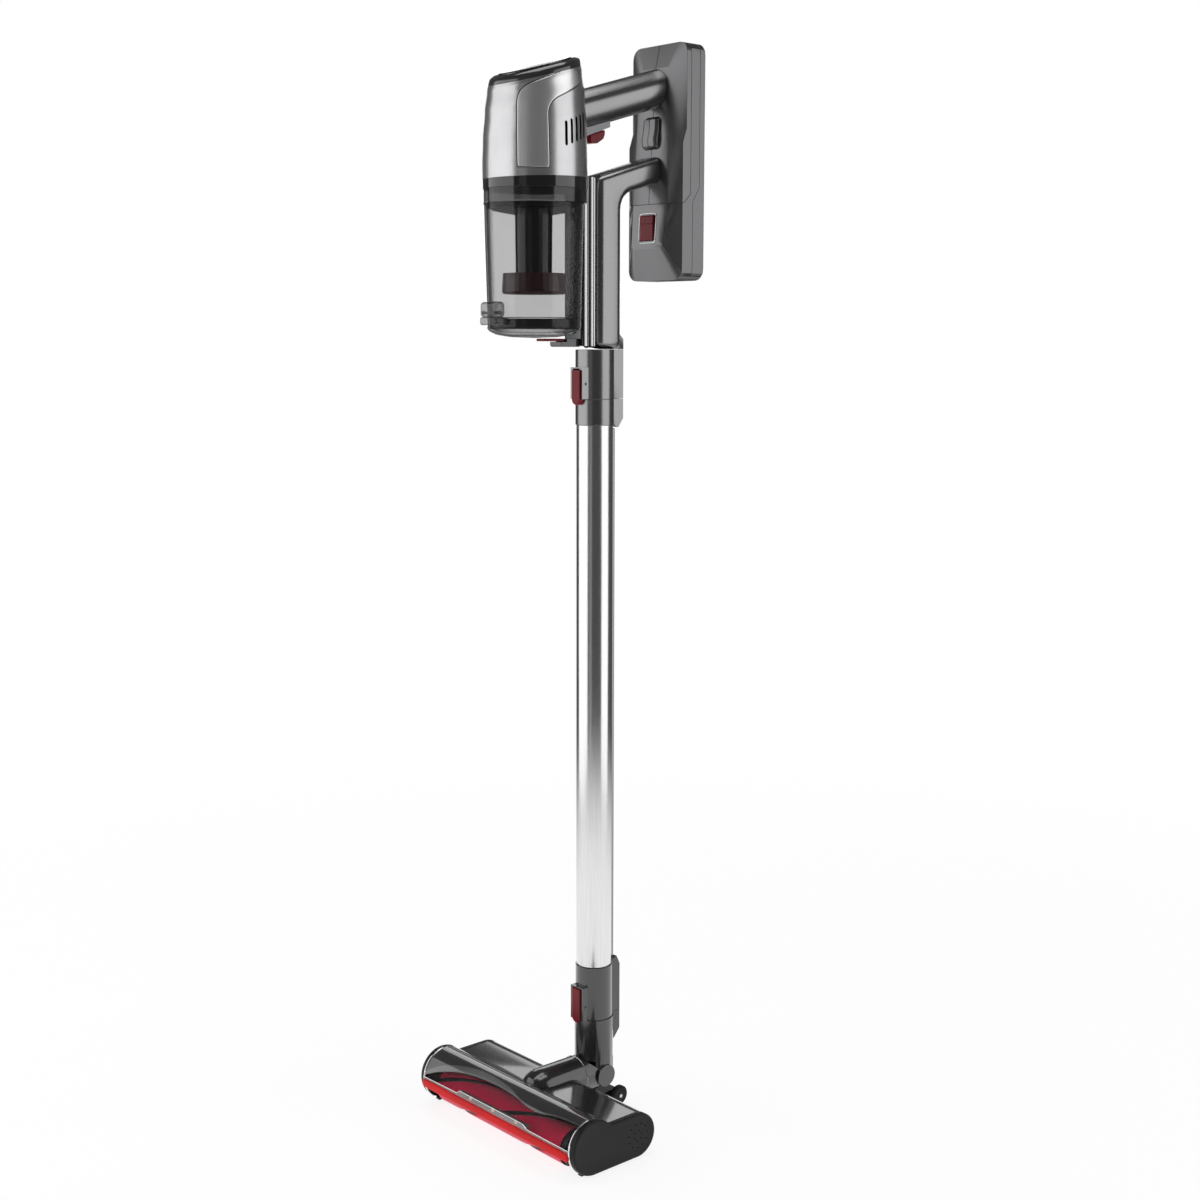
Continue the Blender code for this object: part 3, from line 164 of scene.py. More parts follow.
def moulded(name, colour, rough, grain=900.0, depth=0.25, metallic=0.0, coat=0.0, mottle=0.10):
    """Moulded plastic or painted casing: fine grain, faint mottling and uneven polish."""
    made, tree, shader, where = new_material(name)
    patches = noise(tree, where, 25.0, 2.0)
    specks = noise(tree, where, grain, 2.0)
    dark, pale = shaded(colour, 1.0 - mottle), shaded(colour, 1.0 + mottle)
    blotched = ramp(tree, patches, ((0.32, dark), (0.68, pale)))
    glints = step(tree, specks, 0.45, 0.8, 0.0, 0.5)
    speckled = mixed(tree, glints, blotched, shaded(colour, 1.0 + 2.0 * mottle))
    tree.links.new(speckled, shader.inputs["Base Color"])
    tree.links.new(spread_value(tree, patches, rough * 0.92, rough * 1.08), shader.inputs["Roughness"])
    tree.links.new(bump(tree, specks, depth, 0.00005), shader.inputs["Normal"])
    shader.inputs["Metallic"].default_value = metallic
    shader.inputs["Coat Weight"].default_value = coat
    shader.inputs["Coat Roughness"].default_value = 0.08
    shader.inputs["Specular IOR Level"].default_value = 0.5 if coat > 0.2 or metallic > 0.2 else 0.22
    return made


def brushed(name, colour, rough):
    """Satin metal with fine marks along Z."""
    made, tree, shader, where = new_material(name)
    lines = noise(tree, stretched(tree, where, (1600.0, 1600.0, 30.0)), 1.0, 4.0)
    grains = noise(tree, where, 2600.0, 2.0)
    tree.links.new(ramp(tree, lines, ((0.3, shaded(colour, 0.93)), (0.7, shaded(colour, 1.05)))),
                   shader.inputs["Base Color"])
    tree.links.new(spread_value(tree, noise(tree, where, 55.0), rough * 0.85, rough * 1.15),
                   shader.inputs["Roughness"])
    first = bump(tree, grains, 0.03, 0.00002)
    tree.links.new(bump(tree, lines, 0.03, 0.00002, first), shader.inputs["Normal"])
    shader.inputs["Metallic"].default_value = 1.0
    return made


def see_through(name, colour, alpha, edge, rough=0.03):
    """Clear or smoked plastic with faint flow marks, denser where it is seen edge on."""
    made, tree, shader, where = new_material(name)
    flow = noise(tree, stretched(tree, where, (18.0, 18.0, 6.0)), 1.0, 2.0)
    tree.links.new(ramp(tree, flow, ((0.3, shaded(colour, 0.8)), (0.7, shaded(colour, 1.2)))),
                   shader.inputs["Base Color"])
    haze = spread_value(tree, noise(tree, where, 90.0), rough, rough * 2.2)
    tree.links.new(haze, shader.inputs["Roughness"])
    tree.links.new(bump(tree, flow, 0.05, 0.0006), shader.inputs["Normal"])
    facing = tree.nodes.new("ShaderNodeLayerWeight")
    facing.inputs["Blend"].default_value = 0.5
    tree.links.new(step(tree, facing.outputs["Facing"], 0.38, 0.92, alpha, edge), shader.inputs["Alpha"])
    shader.inputs["IOR"].default_value = 1.5
    shader.inputs["Coat Weight"].default_value = 1.0
    return made


def panelled(name, outer, inner, seam, rough):
    """Metallic casing with an inset panel: the panel value is millimetres inside its outline."""
    made, tree, shader, where = new_material(name)
    inside = surface_value(tree, "panel")
    patches = noise(tree, where, 30.0, 3.0)
    outer_colour = ramp(tree, patches, ((0.3, shaded(outer, 0.95)), (0.7, shaded(outer, 1.05))))
    inner_colour = ramp(tree, patches, ((0.3, shaded(inner, 0.97)), (0.7, shaded(inner, 1.03))))
    colour = mixed(tree, step(tree, inside, -0.1, 0.1), outer_colour, inner_colour)
    line = step(tree, size_of(tree, inside), 0.25, 0.6, 1.0, 0.0)
    tree.links.new(mixed(tree, line, colour, seam), shader.inputs["Base Color"])
    tree.links.new(step(tree, inside, -0.1, 0.1, rough, rough * 1.25), shader.inputs["Roughness"])
    sunk = step(tree, size_of(tree, inside), 0.2, 0.9)
    grain = bump(tree, noise(tree, where, 2200.0, 2.0), 0.05, 0.00005)
    tree.links.new(bump(tree, sunk, 0.6, 0.0004, grain), shader.inputs["Normal"])
    shader.inputs["Metallic"].default_value = 0.88
    shader.inputs["Coat Weight"].default_value = 0.4
    shader.inputs["Coat Roughness"].default_value = 0.06
    return made


def window_glass(name):
    """Clear brush window: dark cover above a wavy edge, a paler lip along it, clear below."""
    made, tree, shader, where = new_material(name)
    cover = surface_value(tree, "cover")
    lip = surface_value(tree, "lip")
    flow = noise(tree, stretched(tree, where, (20.0, 90.0, 90.0)), 1.0, 2.0)
    dark = ramp(tree, flow, ((0.3, (0.045, 0.044, 0.043)), (0.7, (0.070, 0.069, 0.067))))
    pale = ramp(tree, flow, ((0.3, (0.13, 0.135, 0.13)), (0.7, (0.19, 0.195, 0.19))))
    shown = mixed(tree, step(tree, lip, -0.3, 0.6), dark, pale)
    colour = mixed(tree, step(tree, cover, -0.3, 0.3), (0.10, 0.07, 0.08), shown)
    tree.links.new(colour, shader.inputs["Base Color"])
    tree.links.new(step(tree, cover, -0.3, 0.3, 0.04, 0.90), shader.inputs["Alpha"])
    tree.links.new(spread_value(tree, noise(tree, where, 70.0), 0.05, 0.13), shader.inputs["Roughness"])
    edge = step(tree, size_of(tree, cover), 0.1, 1.4)
    tree.links.new(bump(tree, edge, 0.35, 0.0008), shader.inputs["Normal"])
    shader.inputs["Coat Weight"].default_value = 1.0
    shader.inputs["Coat Roughness"].default_value = 0.05
    return made


def napped(name, colour, pile):
    """Soft roller nap: dense short fibres with lighter tips."""
    made, tree, shader, where = new_material(name)
    fibres = noise(tree, stretched(tree, where, (900.0, 1500.0, 1500.0)), 1.0, 4.0)
    lay = noise(tree, stretched(tree, where, (60.0, 160.0, 160.0)), 1.0, 3.0)
    tips = ramp(tree, fibres, ((0.25, shaded(colour, 0.55)), (0.75, shaded(colour, 1.6))))
    worn = mixed(tree, step(tree, lay, 0.35, 0.7, 0.0, 0.45), tips, shaded(colour, 0.6))
    tree.links.new(worn, shader.inputs["Base Color"])
    tree.links.new(spread_value(tree, fibres, 0.75, 1.0), shader.inputs["Roughness"])
    tree.links.new(bump(tree, fibres, pile, 0.0006), shader.inputs["Normal"])
    shader.inputs["Sheen Weight"].default_value = 0.5
    shader.inputs["Sheen Roughness"].default_value = 0.4
    shader.inputs["Specular IOR Level"].default_value = 0.2
    return made


def glowing(name, colour, power):
    """A warm light chip."""
    made, tree, shader, where = new_material(name)
    spots = noise(tree, where, 900.0, 2.0)
    chip = ramp(tree, spots, ((0.3, shaded(colour, 0.8)), (0.7, colour)))
    tree.links.new(chip, shader.inputs["Base Color"])
    shader.inputs["Emission Color"].default_value = (*colour, 1.0)
    shader.inputs["Emission Strength"].default_value = power
    shader.inputs["Roughness"].default_value = 0.4
    return made


MATERIALS = {
    "silver": moulded("silver_paint", (0.60, 0.60, 0.61), 0.25,
                      grain=1500.0, depth=0.04, metallic=0.85, coat=0.3, mottle=0.02),
    "bright": moulded("bright_paint", (0.86, 0.86, 0.87), 0.18,
                      grain=1500.0, depth=0.03, metallic=0.95, coat=0.3, mottle=0.02),
    "graphite": moulded("graphite_gloss", (0.060, 0.060, 0.062), 0.20,
                        grain=1200.0, depth=0.02, metallic=0.60, coat=1.0, mottle=0.04),
    "gunmetal": moulded("gunmetal_paint", (0.30, 0.30, 0.305), 0.24,
                        grain=1400.0, depth=0.01, metallic=0.95, coat=0.1, mottle=0.02),
    # The slab paint is the gunmetal paint made darker: painted shade on the battery slab and case.
    "slab": moulded("slab_shaded_gunmetal", (0.19, 0.19, 0.195), 0.30,
                    grain=1400.0, depth=0.01, metallic=0.90, coat=0.1, mottle=0.02),
    "grey": moulded("grey_paint", (0.34, 0.34, 0.35), 0.35,
                    grain=1400.0, depth=0.02, metallic=0.2, coat=0.1, mottle=0.02),
    "black": moulded("black_matt", (0.009, 0.009, 0.0095), 0.42, grain=1100.0, depth=0.20),
    "collar": moulded("collar_gloss", (0.020, 0.020, 0.021), 0.10,
                      grain=900.0, depth=0.02, metallic=0.2, coat=1.0),
    "rim": moulded("rim_gloss", (0.080, 0.080, 0.083), 0.16,
                   grain=900.0, depth=0.03, metallic=0.6, coat=0.8),
    "gloss": moulded("black_gloss", (0.008, 0.008, 0.009), 0.10,
                     grain=700.0, depth=0.06, metallic=0.0, coat=0.6),
    "red": moulded("red_gloss", (0.20, 0.002, 0.007), 0.30,
                   grain=800.0, depth=0.06, metallic=0.0, coat=0.12),
    "skirt": moulded("skirt_red", (0.045, 0.004, 0.008), 0.35,
                     grain=800.0, depth=0.06, metallic=0.0, coat=0.3),
    "bumper": moulded("bumper_soft", (0.66, 0.001, 0.002), 0.45, grain=900.0, depth=0.35),
    "nap": napped("roller_nap", (0.80, 0.010, 0.070), pile=0.5),
    "bristle": napped("roller_bristle", (0.010, 0.010, 0.011), pile=1.0),
    "housing": panelled("housing_paint", outer=(0.60, 0.60, 0.61), inner=(0.90, 0.90, 0.91),
                        seam=(0.05, 0.05, 0.05), rough=0.26),
    "window": window_glass("window_plastic"),
    "led": glowing("led_chip", (1.0, 0.72, 0.38), power=0.7),
    "smoke": see_through("smoke_clear", (0.022, 0.022, 0.024), alpha=0.19, edge=0.92),
    "band": see_through("smoke_band", (0.012, 0.012, 0.013), alpha=0.55, edge=0.95),
    "lid": see_through("smoke_lid", (0.030, 0.030, 0.032), alpha=0.22, edge=0.85),
    "knuckle": see_through("smoke_knuckle", (0.024, 0.024, 0.026), alpha=0.45, edge=0.92),
    "frost": see_through("frosted_ledge", (0.50, 0.51, 0.51), alpha=0.34, edge=0.70, rough=0.15),
    "clear": see_through("clear_plastic", (0.30, 0.30, 0.31), alpha=0.14, edge=0.60),
    "aluminium": brushed("satin_aluminium", (0.80, 0.80, 0.81), rough=0.20),
    "steel": brushed("turned_steel", (0.55, 0.55, 0.56), rough=0.25),
    "circuit": moulded("circuit_board", (0.012, 0.10, 0.035), 0.45),
    "cell": moulded("cell_sleeve", (0.03, 0.16, 0.30), 0.35),
    "rubber": moulded("black_rubber", (0.014, 0.014, 0.014), 0.70, grain=1300.0, depth=0.5),
    "tyre": moulded("wheel_tyre", (0.010, 0.010, 0.010), 0.60, grain=1300.0, depth=0.5),
}
SLOTS = {
    "silver_shell": "silver", "graphite_shell": "graphite", "gunmetal_shell": "gunmetal",
    "black_plastic": "black", "black_gloss": "gloss", "red_plastic": "red", "bumper_red": "bumper",
    "roller_nap": "nap", "smoke_clear": "smoke", "clear_lens": "clear", "aluminium_tube": "aluminium",
    "steel": "steel", "circuit": "circuit", "cell_wrap": "cell", "black_rubber": "rubber",
    "wheel_tyre": "tyre",
}
# The hinge pin and the lever pins get black gloss: painted shade for the dark holes they sit in.
NODE_FINISH = {
    "cyclone_skirt": "skirt", "filter_band": "band", "trigger_block": "grey", "cyclone_body": "gloss",
    "led_board": "bright", "lid_tail": "graphite", "lid_hinge_pin": "gloss", "upper_lever_pin": "gloss",
    "lower_lever_pin": "gloss", "slab_housing_left": "slab", "slab_housing_right": "slab",
    "battery_case_front": "slab", "battery_case_rear": "slab",
}


# ---------------------------------------------------------------- pieces

NODE_BODY = {node: body for body, nodes in frame["record"]["behaviour"]["bodies"].items() for node in nodes}
SLOT_OF = {entry["node"]: entry["material_slot"] for entry in frame["record"]["subparts"]}


def node_finish(node):
    """The material of a node: its own, or the one for its slot in the record."""
    return NODE_FINISH.get(node, SLOTS[SLOT_OF[node]])


def paint(obj, finish):
    """Give the piece one material."""
    obj.data.materials.clear()
    obj.data.materials.append(MATERIALS[finish])


def new_object(name, maker):
    """An object that holds the finished mesh."""
    mesh = bpy.data.meshes.new(name)
    maker.to_mesh(mesh)
    maker.free()
    made = bpy.data.objects.new(name, mesh)
    bpy.context.scene.collection.objects.link(made)
    return made


def piece(name, maker, finish, node, stands_for=True, sharp=30.0):
    """A finished mesh that rides with a CAD node's body, and by default stands for that node."""
    bmesh.ops.recalc_face_normals(maker, faces=maker.faces[:])
    made = new_object(name, maker)
    made.data.shade_smooth()
    made.data.set_sharp_from_angle(angle=math.radians(sharp))
    paint(made, finish)
    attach(made, NODE_BODY[node])
    if stands_for:
        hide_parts(node)
    return made


def round_edges(obj, width, segments, angle):
    """Round over the edges that are sharper than the angle."""
    rounding = obj.modifiers.new("edges", "BEVEL")
    rounding.width = width
    rounding.segments = segments
    rounding.limit_method = "ANGLE"
    rounding.angle_limit = math.radians(angle)
    return rounding


def softened(node, width, angle, sharp):
    """The node's own shape with its edges rounded over."""
    maker = bmesh.new()
    maker.from_mesh(frame["nodes"][node].data)
    bmesh.ops.remove_doubles(maker, verts=maker.verts[:], dist=0.00002)
    bmesh.ops.dissolve_limit(maker, angle_limit=math.radians(1.0), verts=maker.verts[:], edges=maker.edges[:])
    made = piece(f"{node}_shown", maker, node_finish(node), node, sharp=sharp)
    round_edges(made, width, 2, angle).harden_normals = True


def carry(obj, name, value_at):
    """Store a number on every point of the mesh, for its material."""
    layer = obj.data.attributes.new(name, "FLOAT", "POINT")
    layer.data.foreach_set("value", [value_at(vert.co) for vert in obj.data.vertices])


def centre_of(node):
    """The middle of a node's box."""
    low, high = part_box(node)
    return (low + high) / 2


def join_rows(maker, low, high, closed):
    """Faces between two equal rows of points."""
    for i in range(len(low) if closed else len(low) - 1):
        j = (i + 1) % len(low)
        maker.faces.new((low[i], low[j], high[j], high[i]))


def grid_skin(rows, closed=False):
    """A skin through equal rows of points; a closed row is a ring."""
    maker = bmesh.new()
    verts = [[maker.verts.new(point) for point in row] for row in rows]
    for low, high in zip(verts, verts[1:]):
        join_rows(maker, low, high, closed)
    return maker, verts


def capped_skin(rows):
    """A skin through rings of points, with a face over each end."""
    maker, verts = grid_skin(rows, closed=True)
    maker.faces.new(verts[0])
    maker.faces.new(verts[-1])
    return maker


def turns(steps):
    """Angles evenly spread round a full turn."""
    return [FULL_TURN * i / steps for i in range(steps)]


def arc(centre, radius, start, end, steps):
    """Points of a round stretch, with its ends in degrees."""
    points = []
    for i in range(steps + 1):
        angle = math.radians(start + (end - start) * i / steps)
        points.append((centre[0] + radius * math.cos(angle), centre[1] + radius * math.sin(angle)))
    return points


def turned(profile, axis, centre, steps=96):
    """A shape turned round an axis; the profile is (radius, height) and radius 0 ends it in a point."""
    rows = []
    for radius, height in profile:
        row = []
        for angle in turns(steps):
            u, v = radius * math.cos(angle), radius * math.sin(angle)
            point = (height, u, v) if axis == "X" else (u, v, height)
            row.append(Vector(point) + centre)
        rows.append(row)
    maker, _ = grid_skin(rows, closed=True)
    bmesh.ops.remove_doubles(maker, verts=maker.verts[:], dist=0.000002)
    return maker


def rounded_profile(points, radius, steps=4):
    """A profile with its inner corners rounded."""
    made = [points[0]]
    for before, here, after in zip(points, points[1:], points[2:]):
        a, b, c = Vector(before), Vector(here), Vector(after)
        reach = min(radius, (a - b).length * 0.45, (c - b).length * 0.45)
        start, end = b + (a - b).normalized() * reach, b + (c - b).normalized() * reach
        for i in range(steps + 1):
            t = i / steps
            made.append(tuple(start * (1 - t) ** 2 + b * (2 * t * (1 - t)) + end * t * t))
    made.append(points[-1])
    return made


def along(table, x):
    """A value read off a table of (x, value) pairs."""
    if x <= table[0][0]:
        return table[0][1]
    for (x0, v0), (x1, v1) in zip(table, table[1:]):
        if x <= x1:
            t = (x - x0) / (x1 - x0)
            return v0 + (v1 - v0) * t * t * (3 - 2 * t)
    return table[-1][1]


def curve_at(points, x):
    """The height at x of a smooth curve through (x, height) points."""
    last = len(points) - 1
    k = 0
    while k < last - 1 and x > points[k + 1][0]:
        k += 1

    def slope(i):
        (x0, v0), (x1, v1) = points[max(i - 1, 0)], points[min(i + 1, last)]
        return (v1 - v0) / (x1 - x0)

    (x0, v0), (x1, v1) = points[k], points[k + 1]
    width = x1 - x0
    t = min(1.0, max(0.0, (x - x0) / width))
    start = v0 * (1 + 2 * t) + slope(k) * width * t
    end = v1 * (3 - 2 * t) - slope(k + 1) * width * (1 - t)
    return start * (1 - t) ** 2 + end * t * t


def inside_distance(u, v, outline):
    """How far a point lies inside an outline; negative outside."""
    nearest, inside = 1e9, False
    for (x0, y0), (x1, y1) in zip(outline, outline[1:] + outline[:1]):
        dx, dy = x1 - x0, y1 - y0
        t = max(0.0, min(1.0, ((u - x0) * dx + (v - y0) * dy) / (dx * dx + dy * dy)))
        nearest = min(nearest, math.hypot(u - x0 - t * dx, v - y0 - t * dy))
        if (y0 > v) != (y1 > v) and u < x0 + (v - y0) * dx / dy:
            inside = not inside
    return nearest if inside else -nearest


def apply_modifiers(obj):
    """Bake the modifiers into the mesh."""
    depsgraph = bpy.context.evaluated_depsgraph_get()
    obj.data = bpy.data.meshes.new_from_object(obj.evaluated_get(depsgraph))
    obj.modifiers.clear()


def cut_away(obj, cutters):
    """Cut each cutter out of the mesh and remove it."""
    for cutter in cutters:
        cutting = obj.modifiers.new(cutter.name, "BOOLEAN")
        cutting.object = cutter
        cutting.solver = "EXACT"
    apply_modifiers(obj)
    for cutter in cutters:
        bpy.data.objects.remove(cutter)


def wire(name, points, radius, finish, node, sides=8, closed=False):
    """A thin round bead along points."""
    rows = []
    for i, point in enumerate(points):
        before = points[i - 1] if i or closed else point
        after = points[(i + 1) % len(points)] if i + 1 < len(points) or closed else point
        ahead = (after - before).normalized()
        side = ahead.cross(ASKEW).normalized()
        up = side.cross(ahead)
        rows.append([point + (side * math.cos(a) + up * math.sin(a)) * radius for a in turns(sides)])
    if closed:
        maker, _ = grid_skin(rows + rows[:1], closed=True)
    else:
        maker = capped_skin(rows)
    return piece(name, maker, finish, node, stands_for=False)


def thicken(obj, depth):
    """Give a sheet thickness inwards."""
    wall = obj.modifiers.new("wall", "SOLIDIFY")
    wall.thickness = depth
    wall.offset = -1.0


# ---------------------------------------------------------------- handheld unit

HOUSE_LOW, HOUSE_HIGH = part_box("motor_housing")
BODY_R = (HOUSE_HIGH.x - HOUSE_LOW.x) / 2
BODY_Y = (HOUSE_LOW.y + HOUSE_HIGH.y) / 2
BODY_FOOT = HOUSE_LOW.z
BODY_WALL = 0.0022
TOP_DRAW, TOP_SLOPE = 0.0111, 0.300          # how far in the top edge is, and its rise towards the back
TOP_EDGE_R = BODY_R - TOP_DRAW
TOP_Z = HOUSE_HIGH.z - TOP_SLOPE * TOP_EDGE_R
# How far the side is drawn in, as (share of the height, distance)
BODY_DRAW = ((0.0, 0.0002), (0.22, 0.0), (0.45, 0.0008), (0.7, 0.0028), (0.88, 0.0050), (0.95, 0.0063),
             (0.975, 0.0072), (0.99, 0.0086), (1.0, TOP_DRAW))
BODY_STEPS = 168                 # round the housing
BODY_ROWS = 52                   # even rows, below the rows of the rim
RIM_SHARES = [0.945, 0.955, 0.965, 0.975, 0.983, 0.990, 0.995, 1.0]
COLLAR_ROWS = 5                  # dark rows at the foot
# The inset panel's corners, as (degrees round the housing, height above its foot)
PANEL_CORNERS = ((-58.0, 0.0172), (-60.0, 0.0882), (14.0, 0.1112), (27.0, 0.0967), (-24.6, 0.0766),
                 (-23.5, 0.0162))
PANEL_ROUND = 13.0               # millimetres
VENT_COUNT, VENT_START, VENT_PITCH = 5, -3.0, 8.0              # degrees round the housing
VENT_HALF, VENT_LOW, VENT_HIGH = 0.0015, 0.0375, 0.0602        # half width, ends above the housing's foot
VENT_LOW_RISE, VENT_HIGH_RISE = 0.0023, 0.0025                 # from one vent to the next


def body_point(angle, share, inset=0.0):
    """A point of the motor housing's skin."""
    radius = BODY_R - along(BODY_DRAW, share) - inset
    x, y = radius * math.cos(angle), radius * math.sin(angle)
    top = TOP_Z - inset + TOP_SLOPE * y
    return Vector((x, BODY_Y + y, BODY_FOOT + (top - BODY_FOOT) * share))


def panel_outline():
    """The panel runs up the housing's side and back along its top, as millimetres round it and up it."""
    corners = [(math.radians(angle) * BODY_R * 1000, (BODY_FOOT + up) * 1000) for angle, up in PANEL_CORNERS]
    return rounded_profile(corners[:3], PANEL_ROUND, 6) + rounded_profile(corners[3:], PANEL_ROUND, 6)


def panel_value(point, outline):
    """Millimetres inside the inset panel on either side of the housing."""
    turn = math.atan2(point.y - BODY_Y, abs(point.x))
    return inside_distance(turn * BODY_R * 1000, point.z * 1000, outline)


def make_housing():
    """Motor housing with its bright inset panels, dark foot, dark rim and vents."""
    shares = [i / (BODY_ROWS + 4) for i in range(BODY_ROWS + 1)] + RIM_SHARES
    angles = turns(BODY_STEPS)
    outer = [[body_point(angle, share) for angle in angles] for share in shares]
    inner = [[body_point(angle, share, BODY_WALL) for angle in angles] for share in (1.0, 0.9, 0.6, 0.3, 0.0)]
    maker, verts = grid_skin(outer + inner, closed=True)
    join_rows(maker, verts[-1], verts[0], closed=True)
    made = piece("housing_skin", maker, "housing", "motor_housing")
    outline = panel_outline()
    carry(made, "panel", lambda point: panel_value(point, outline))
    made.data.materials.append(MATERIALS["rim"])
    made.data.materials.append(MATERIALS["collar"])
    for face in made.data.polygons:
        row = face.index // BODY_STEPS
        if BODY_ROWS <= row < len(shares):
            face.material_index = 1
        elif row < COLLAR_ROWS:
            face.material_index = 2
    cut_away(made, [vent_cutter(i) for i in range(VENT_COUNT)])


def vent_cutter(i):
    """One upright slot cutter with round ends; the slots rise with the sloping top."""
    angle = math.radians(VENT_START + VENT_PITCH * i)
    out = Vector((math.cos(angle), math.sin(angle), 0.0))
    side = Vector((-out.y, out.x, 0.0))
    low = BODY_FOOT + VENT_LOW + VENT_LOW_RISE * i
    high = BODY_FOOT + VENT_HIGH + VENT_HIGH_RISE * i
    outline = arc((0.0, high - VENT_HALF), VENT_HALF, 0.0, 180.0, 8)
    outline += arc((0.0, low + VENT_HALF), VENT_HALF, 180.0, 360.0, 8)
    centre = Vector((0.0, BODY_Y, 0.0))
    rows = []
    for reach in (BODY_R - 0.0106, BODY_R + 0.0054):
        rows.append([centre + out * reach + side * u + Vector((0.0, 0.0, z)) for u, z in outline])
    maker = capped_skin(rows)
    bmesh.ops.recalc_face_normals(maker, faces=maker.faces[:])
    return new_object(f"vent_cutter_{i}", maker)


def make_top_panel():
    """Glossy inset of the sloping top."""
    edge, face = TOP_EDGE_R - 0.0046, 0.0016
    rings = ((edge, 0.0004), (edge, 0.0012), (edge - 0.0006, face), (edge - 0.0029, face),
             (edge - 0.0199, 0.0022))          # (radius, height over the rim's plane)
    rows = []
    for radius, lift in rings:
        row = []
        for x, y in arc((0.0, 0.0), radius, 0.0, 360.0, 96)[:-1]:
            row.append(Vector((x, BODY_Y + y, TOP_Z + lift + TOP_SLOPE * y)))
        rows.append(row)
    piece("top_inset", capped_skin(rows), "gloss", "top_panel", sharp=50.0)


CUP_LOW, CUP_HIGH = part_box("dust_cup")
CUP_CENTRE = Vector((0.0, centre_of("cyclone_body").y, 0.0))
CUP_R = (CUP_HIGH.x - CUP_LOW.x) / 2
CUP_FOOT_R = 0.0455
CUP_WALL = 0.0020
LID_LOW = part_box("bottom_lid")[0]
HINGE = centre_of("lid_hinge_pin")
HINGE_HALF = 0.0128              # half width of the hinge's knuckle


def make_cup():
    """Smoked cup, tapering to its foot, with a dark line at the foot and at the mouth."""
    foot, high, edge = CUP_LOW.z, CUP_HIGH.z, 0.03
    taper = (CUP_R - CUP_FOOT_R) / (high - foot)
    skin = [(CUP_FOOT_R + taper * (z - foot), z) for z in (foot, foot + edge, high - edge, high)]
    inner = [(radius - CUP_WALL, z) for radius, z in skin[::-1]]
    maker = turned(rounded_profile(skin + inner + skin[:1], 0.0004, 2), "Z", CUP_CENTRE, 128)
    piece("cup_skin", maker, "smoke", "dust_cup")
    cup_line("cup_foot_line", foot + 0.0006, CUP_FOOT_R + 0.0001)
    cup_line("cup_mouth_line", high - 0.0004, CUP_R)


def cup_line(name, z, radius):
    """A fine dark line round the cup."""
    ring = [CUP_CENTRE + Vector((radius * math.cos(a), radius * math.sin(a), z)) for a in turns(96)]
    wire(name, ring, 0.0004, "gloss", "dust_cup", 6, closed=True)


def make_lid():
    """Smoked lid: a short straight wall, a rolled edge and a shallow dome, with a gasket inside."""
    radius, wall, low, top = CUP_FOOT_R, 0.0022, LID_LOW.z, CUP_LOW.z - GAP
    profile = [(0.0, low), (radius * 0.5, low + 0.0008), (radius * 0.8, low + 0.0030)]
    profile += [(radius * 0.95, low + 0.0062), (radius, low + 0.0090), (radius, top), (radius - wall, top)]
    profile += [(radius - wall, low + 0.0098), (radius * 0.75, low + 0.0050), (0.0, low + 0.0026)]
    maker = turned(rounded_profile(profile, 0.0020, 4), "Z", CUP_CENTRE, 128)
    piece("lid_skin", maker, "lid", "bottom_lid")
    rim, inside, foot, head = radius - 0.0026, radius - 0.0060, top - 0.0095, top - 0.0002
    gasket = [(rim, foot), (rim, head), (inside, head), (inside, foot), (rim, foot)]
    piece("lid_gasket", turned(gasket, "Z", CUP_CENTRE, 96), "rubber", "bottom_lid", stands_for=False)


def rounded_block(name, low, high, radius, node, segments=4):
    """A smoked block with well rounded edges."""
    maker = bmesh.new()
    bmesh.ops.create_cube(maker, size=1.0)
    bmesh.ops.scale(maker, vec=high - low, verts=maker.verts[:])
    bmesh.ops.translate(maker, vec=(low + high) / 2, verts=maker.verts[:])
    bmesh.ops.bevel(maker, geom=maker.edges[:], offset=radius, segments=segments, profile=0.5, affect="EDGES")
    piece(name, maker, "knuckle", node, stands_for=False, sharp=60.0)


def make_hinge():
    """Hinge knuckle in front of the cup: one half on the cup, one on the lid, and the pin's ends."""
    split, back = CUP_LOW.z, HINGE.y + 0.0075
    rounded_block("hinge_knuckle", Vector((-HINGE_HALF, HINGE.y - 0.0055, split + 0.0004)),
                  Vector((HINGE_HALF, back, split + 0.0155)), 0.0042, "dust_cup")
    rounded_block("hinge_leaf", Vector((-HINGE_HALF, HINGE.y - 0.0052, split - 0.0066)),
                  Vector((HINGE_HALF, back + 0.0030, split + 0.0010)), 0.0022, "bottom_lid")
    rim, bead, sunk = 0.0017, 0.0021, 0.0012
    profile = [(0.0, -0.0006), (rim, -0.0006), (bead, 0.0), (rim, 0.0008), (sunk, 0.0002), (0.0, 0.0002)]
    for i, side in enumerate((-1.0, 1.0)):
        place = Vector((side * HINGE_HALF, HINGE.y, HINGE.z))
        maker = turned([(radius, side * out) for radius, out in profile], "X", place, 32)
        piece(f"hinge_pin_end_{i}", maker, "gloss", "lid_hinge_pin", stands_for=False)


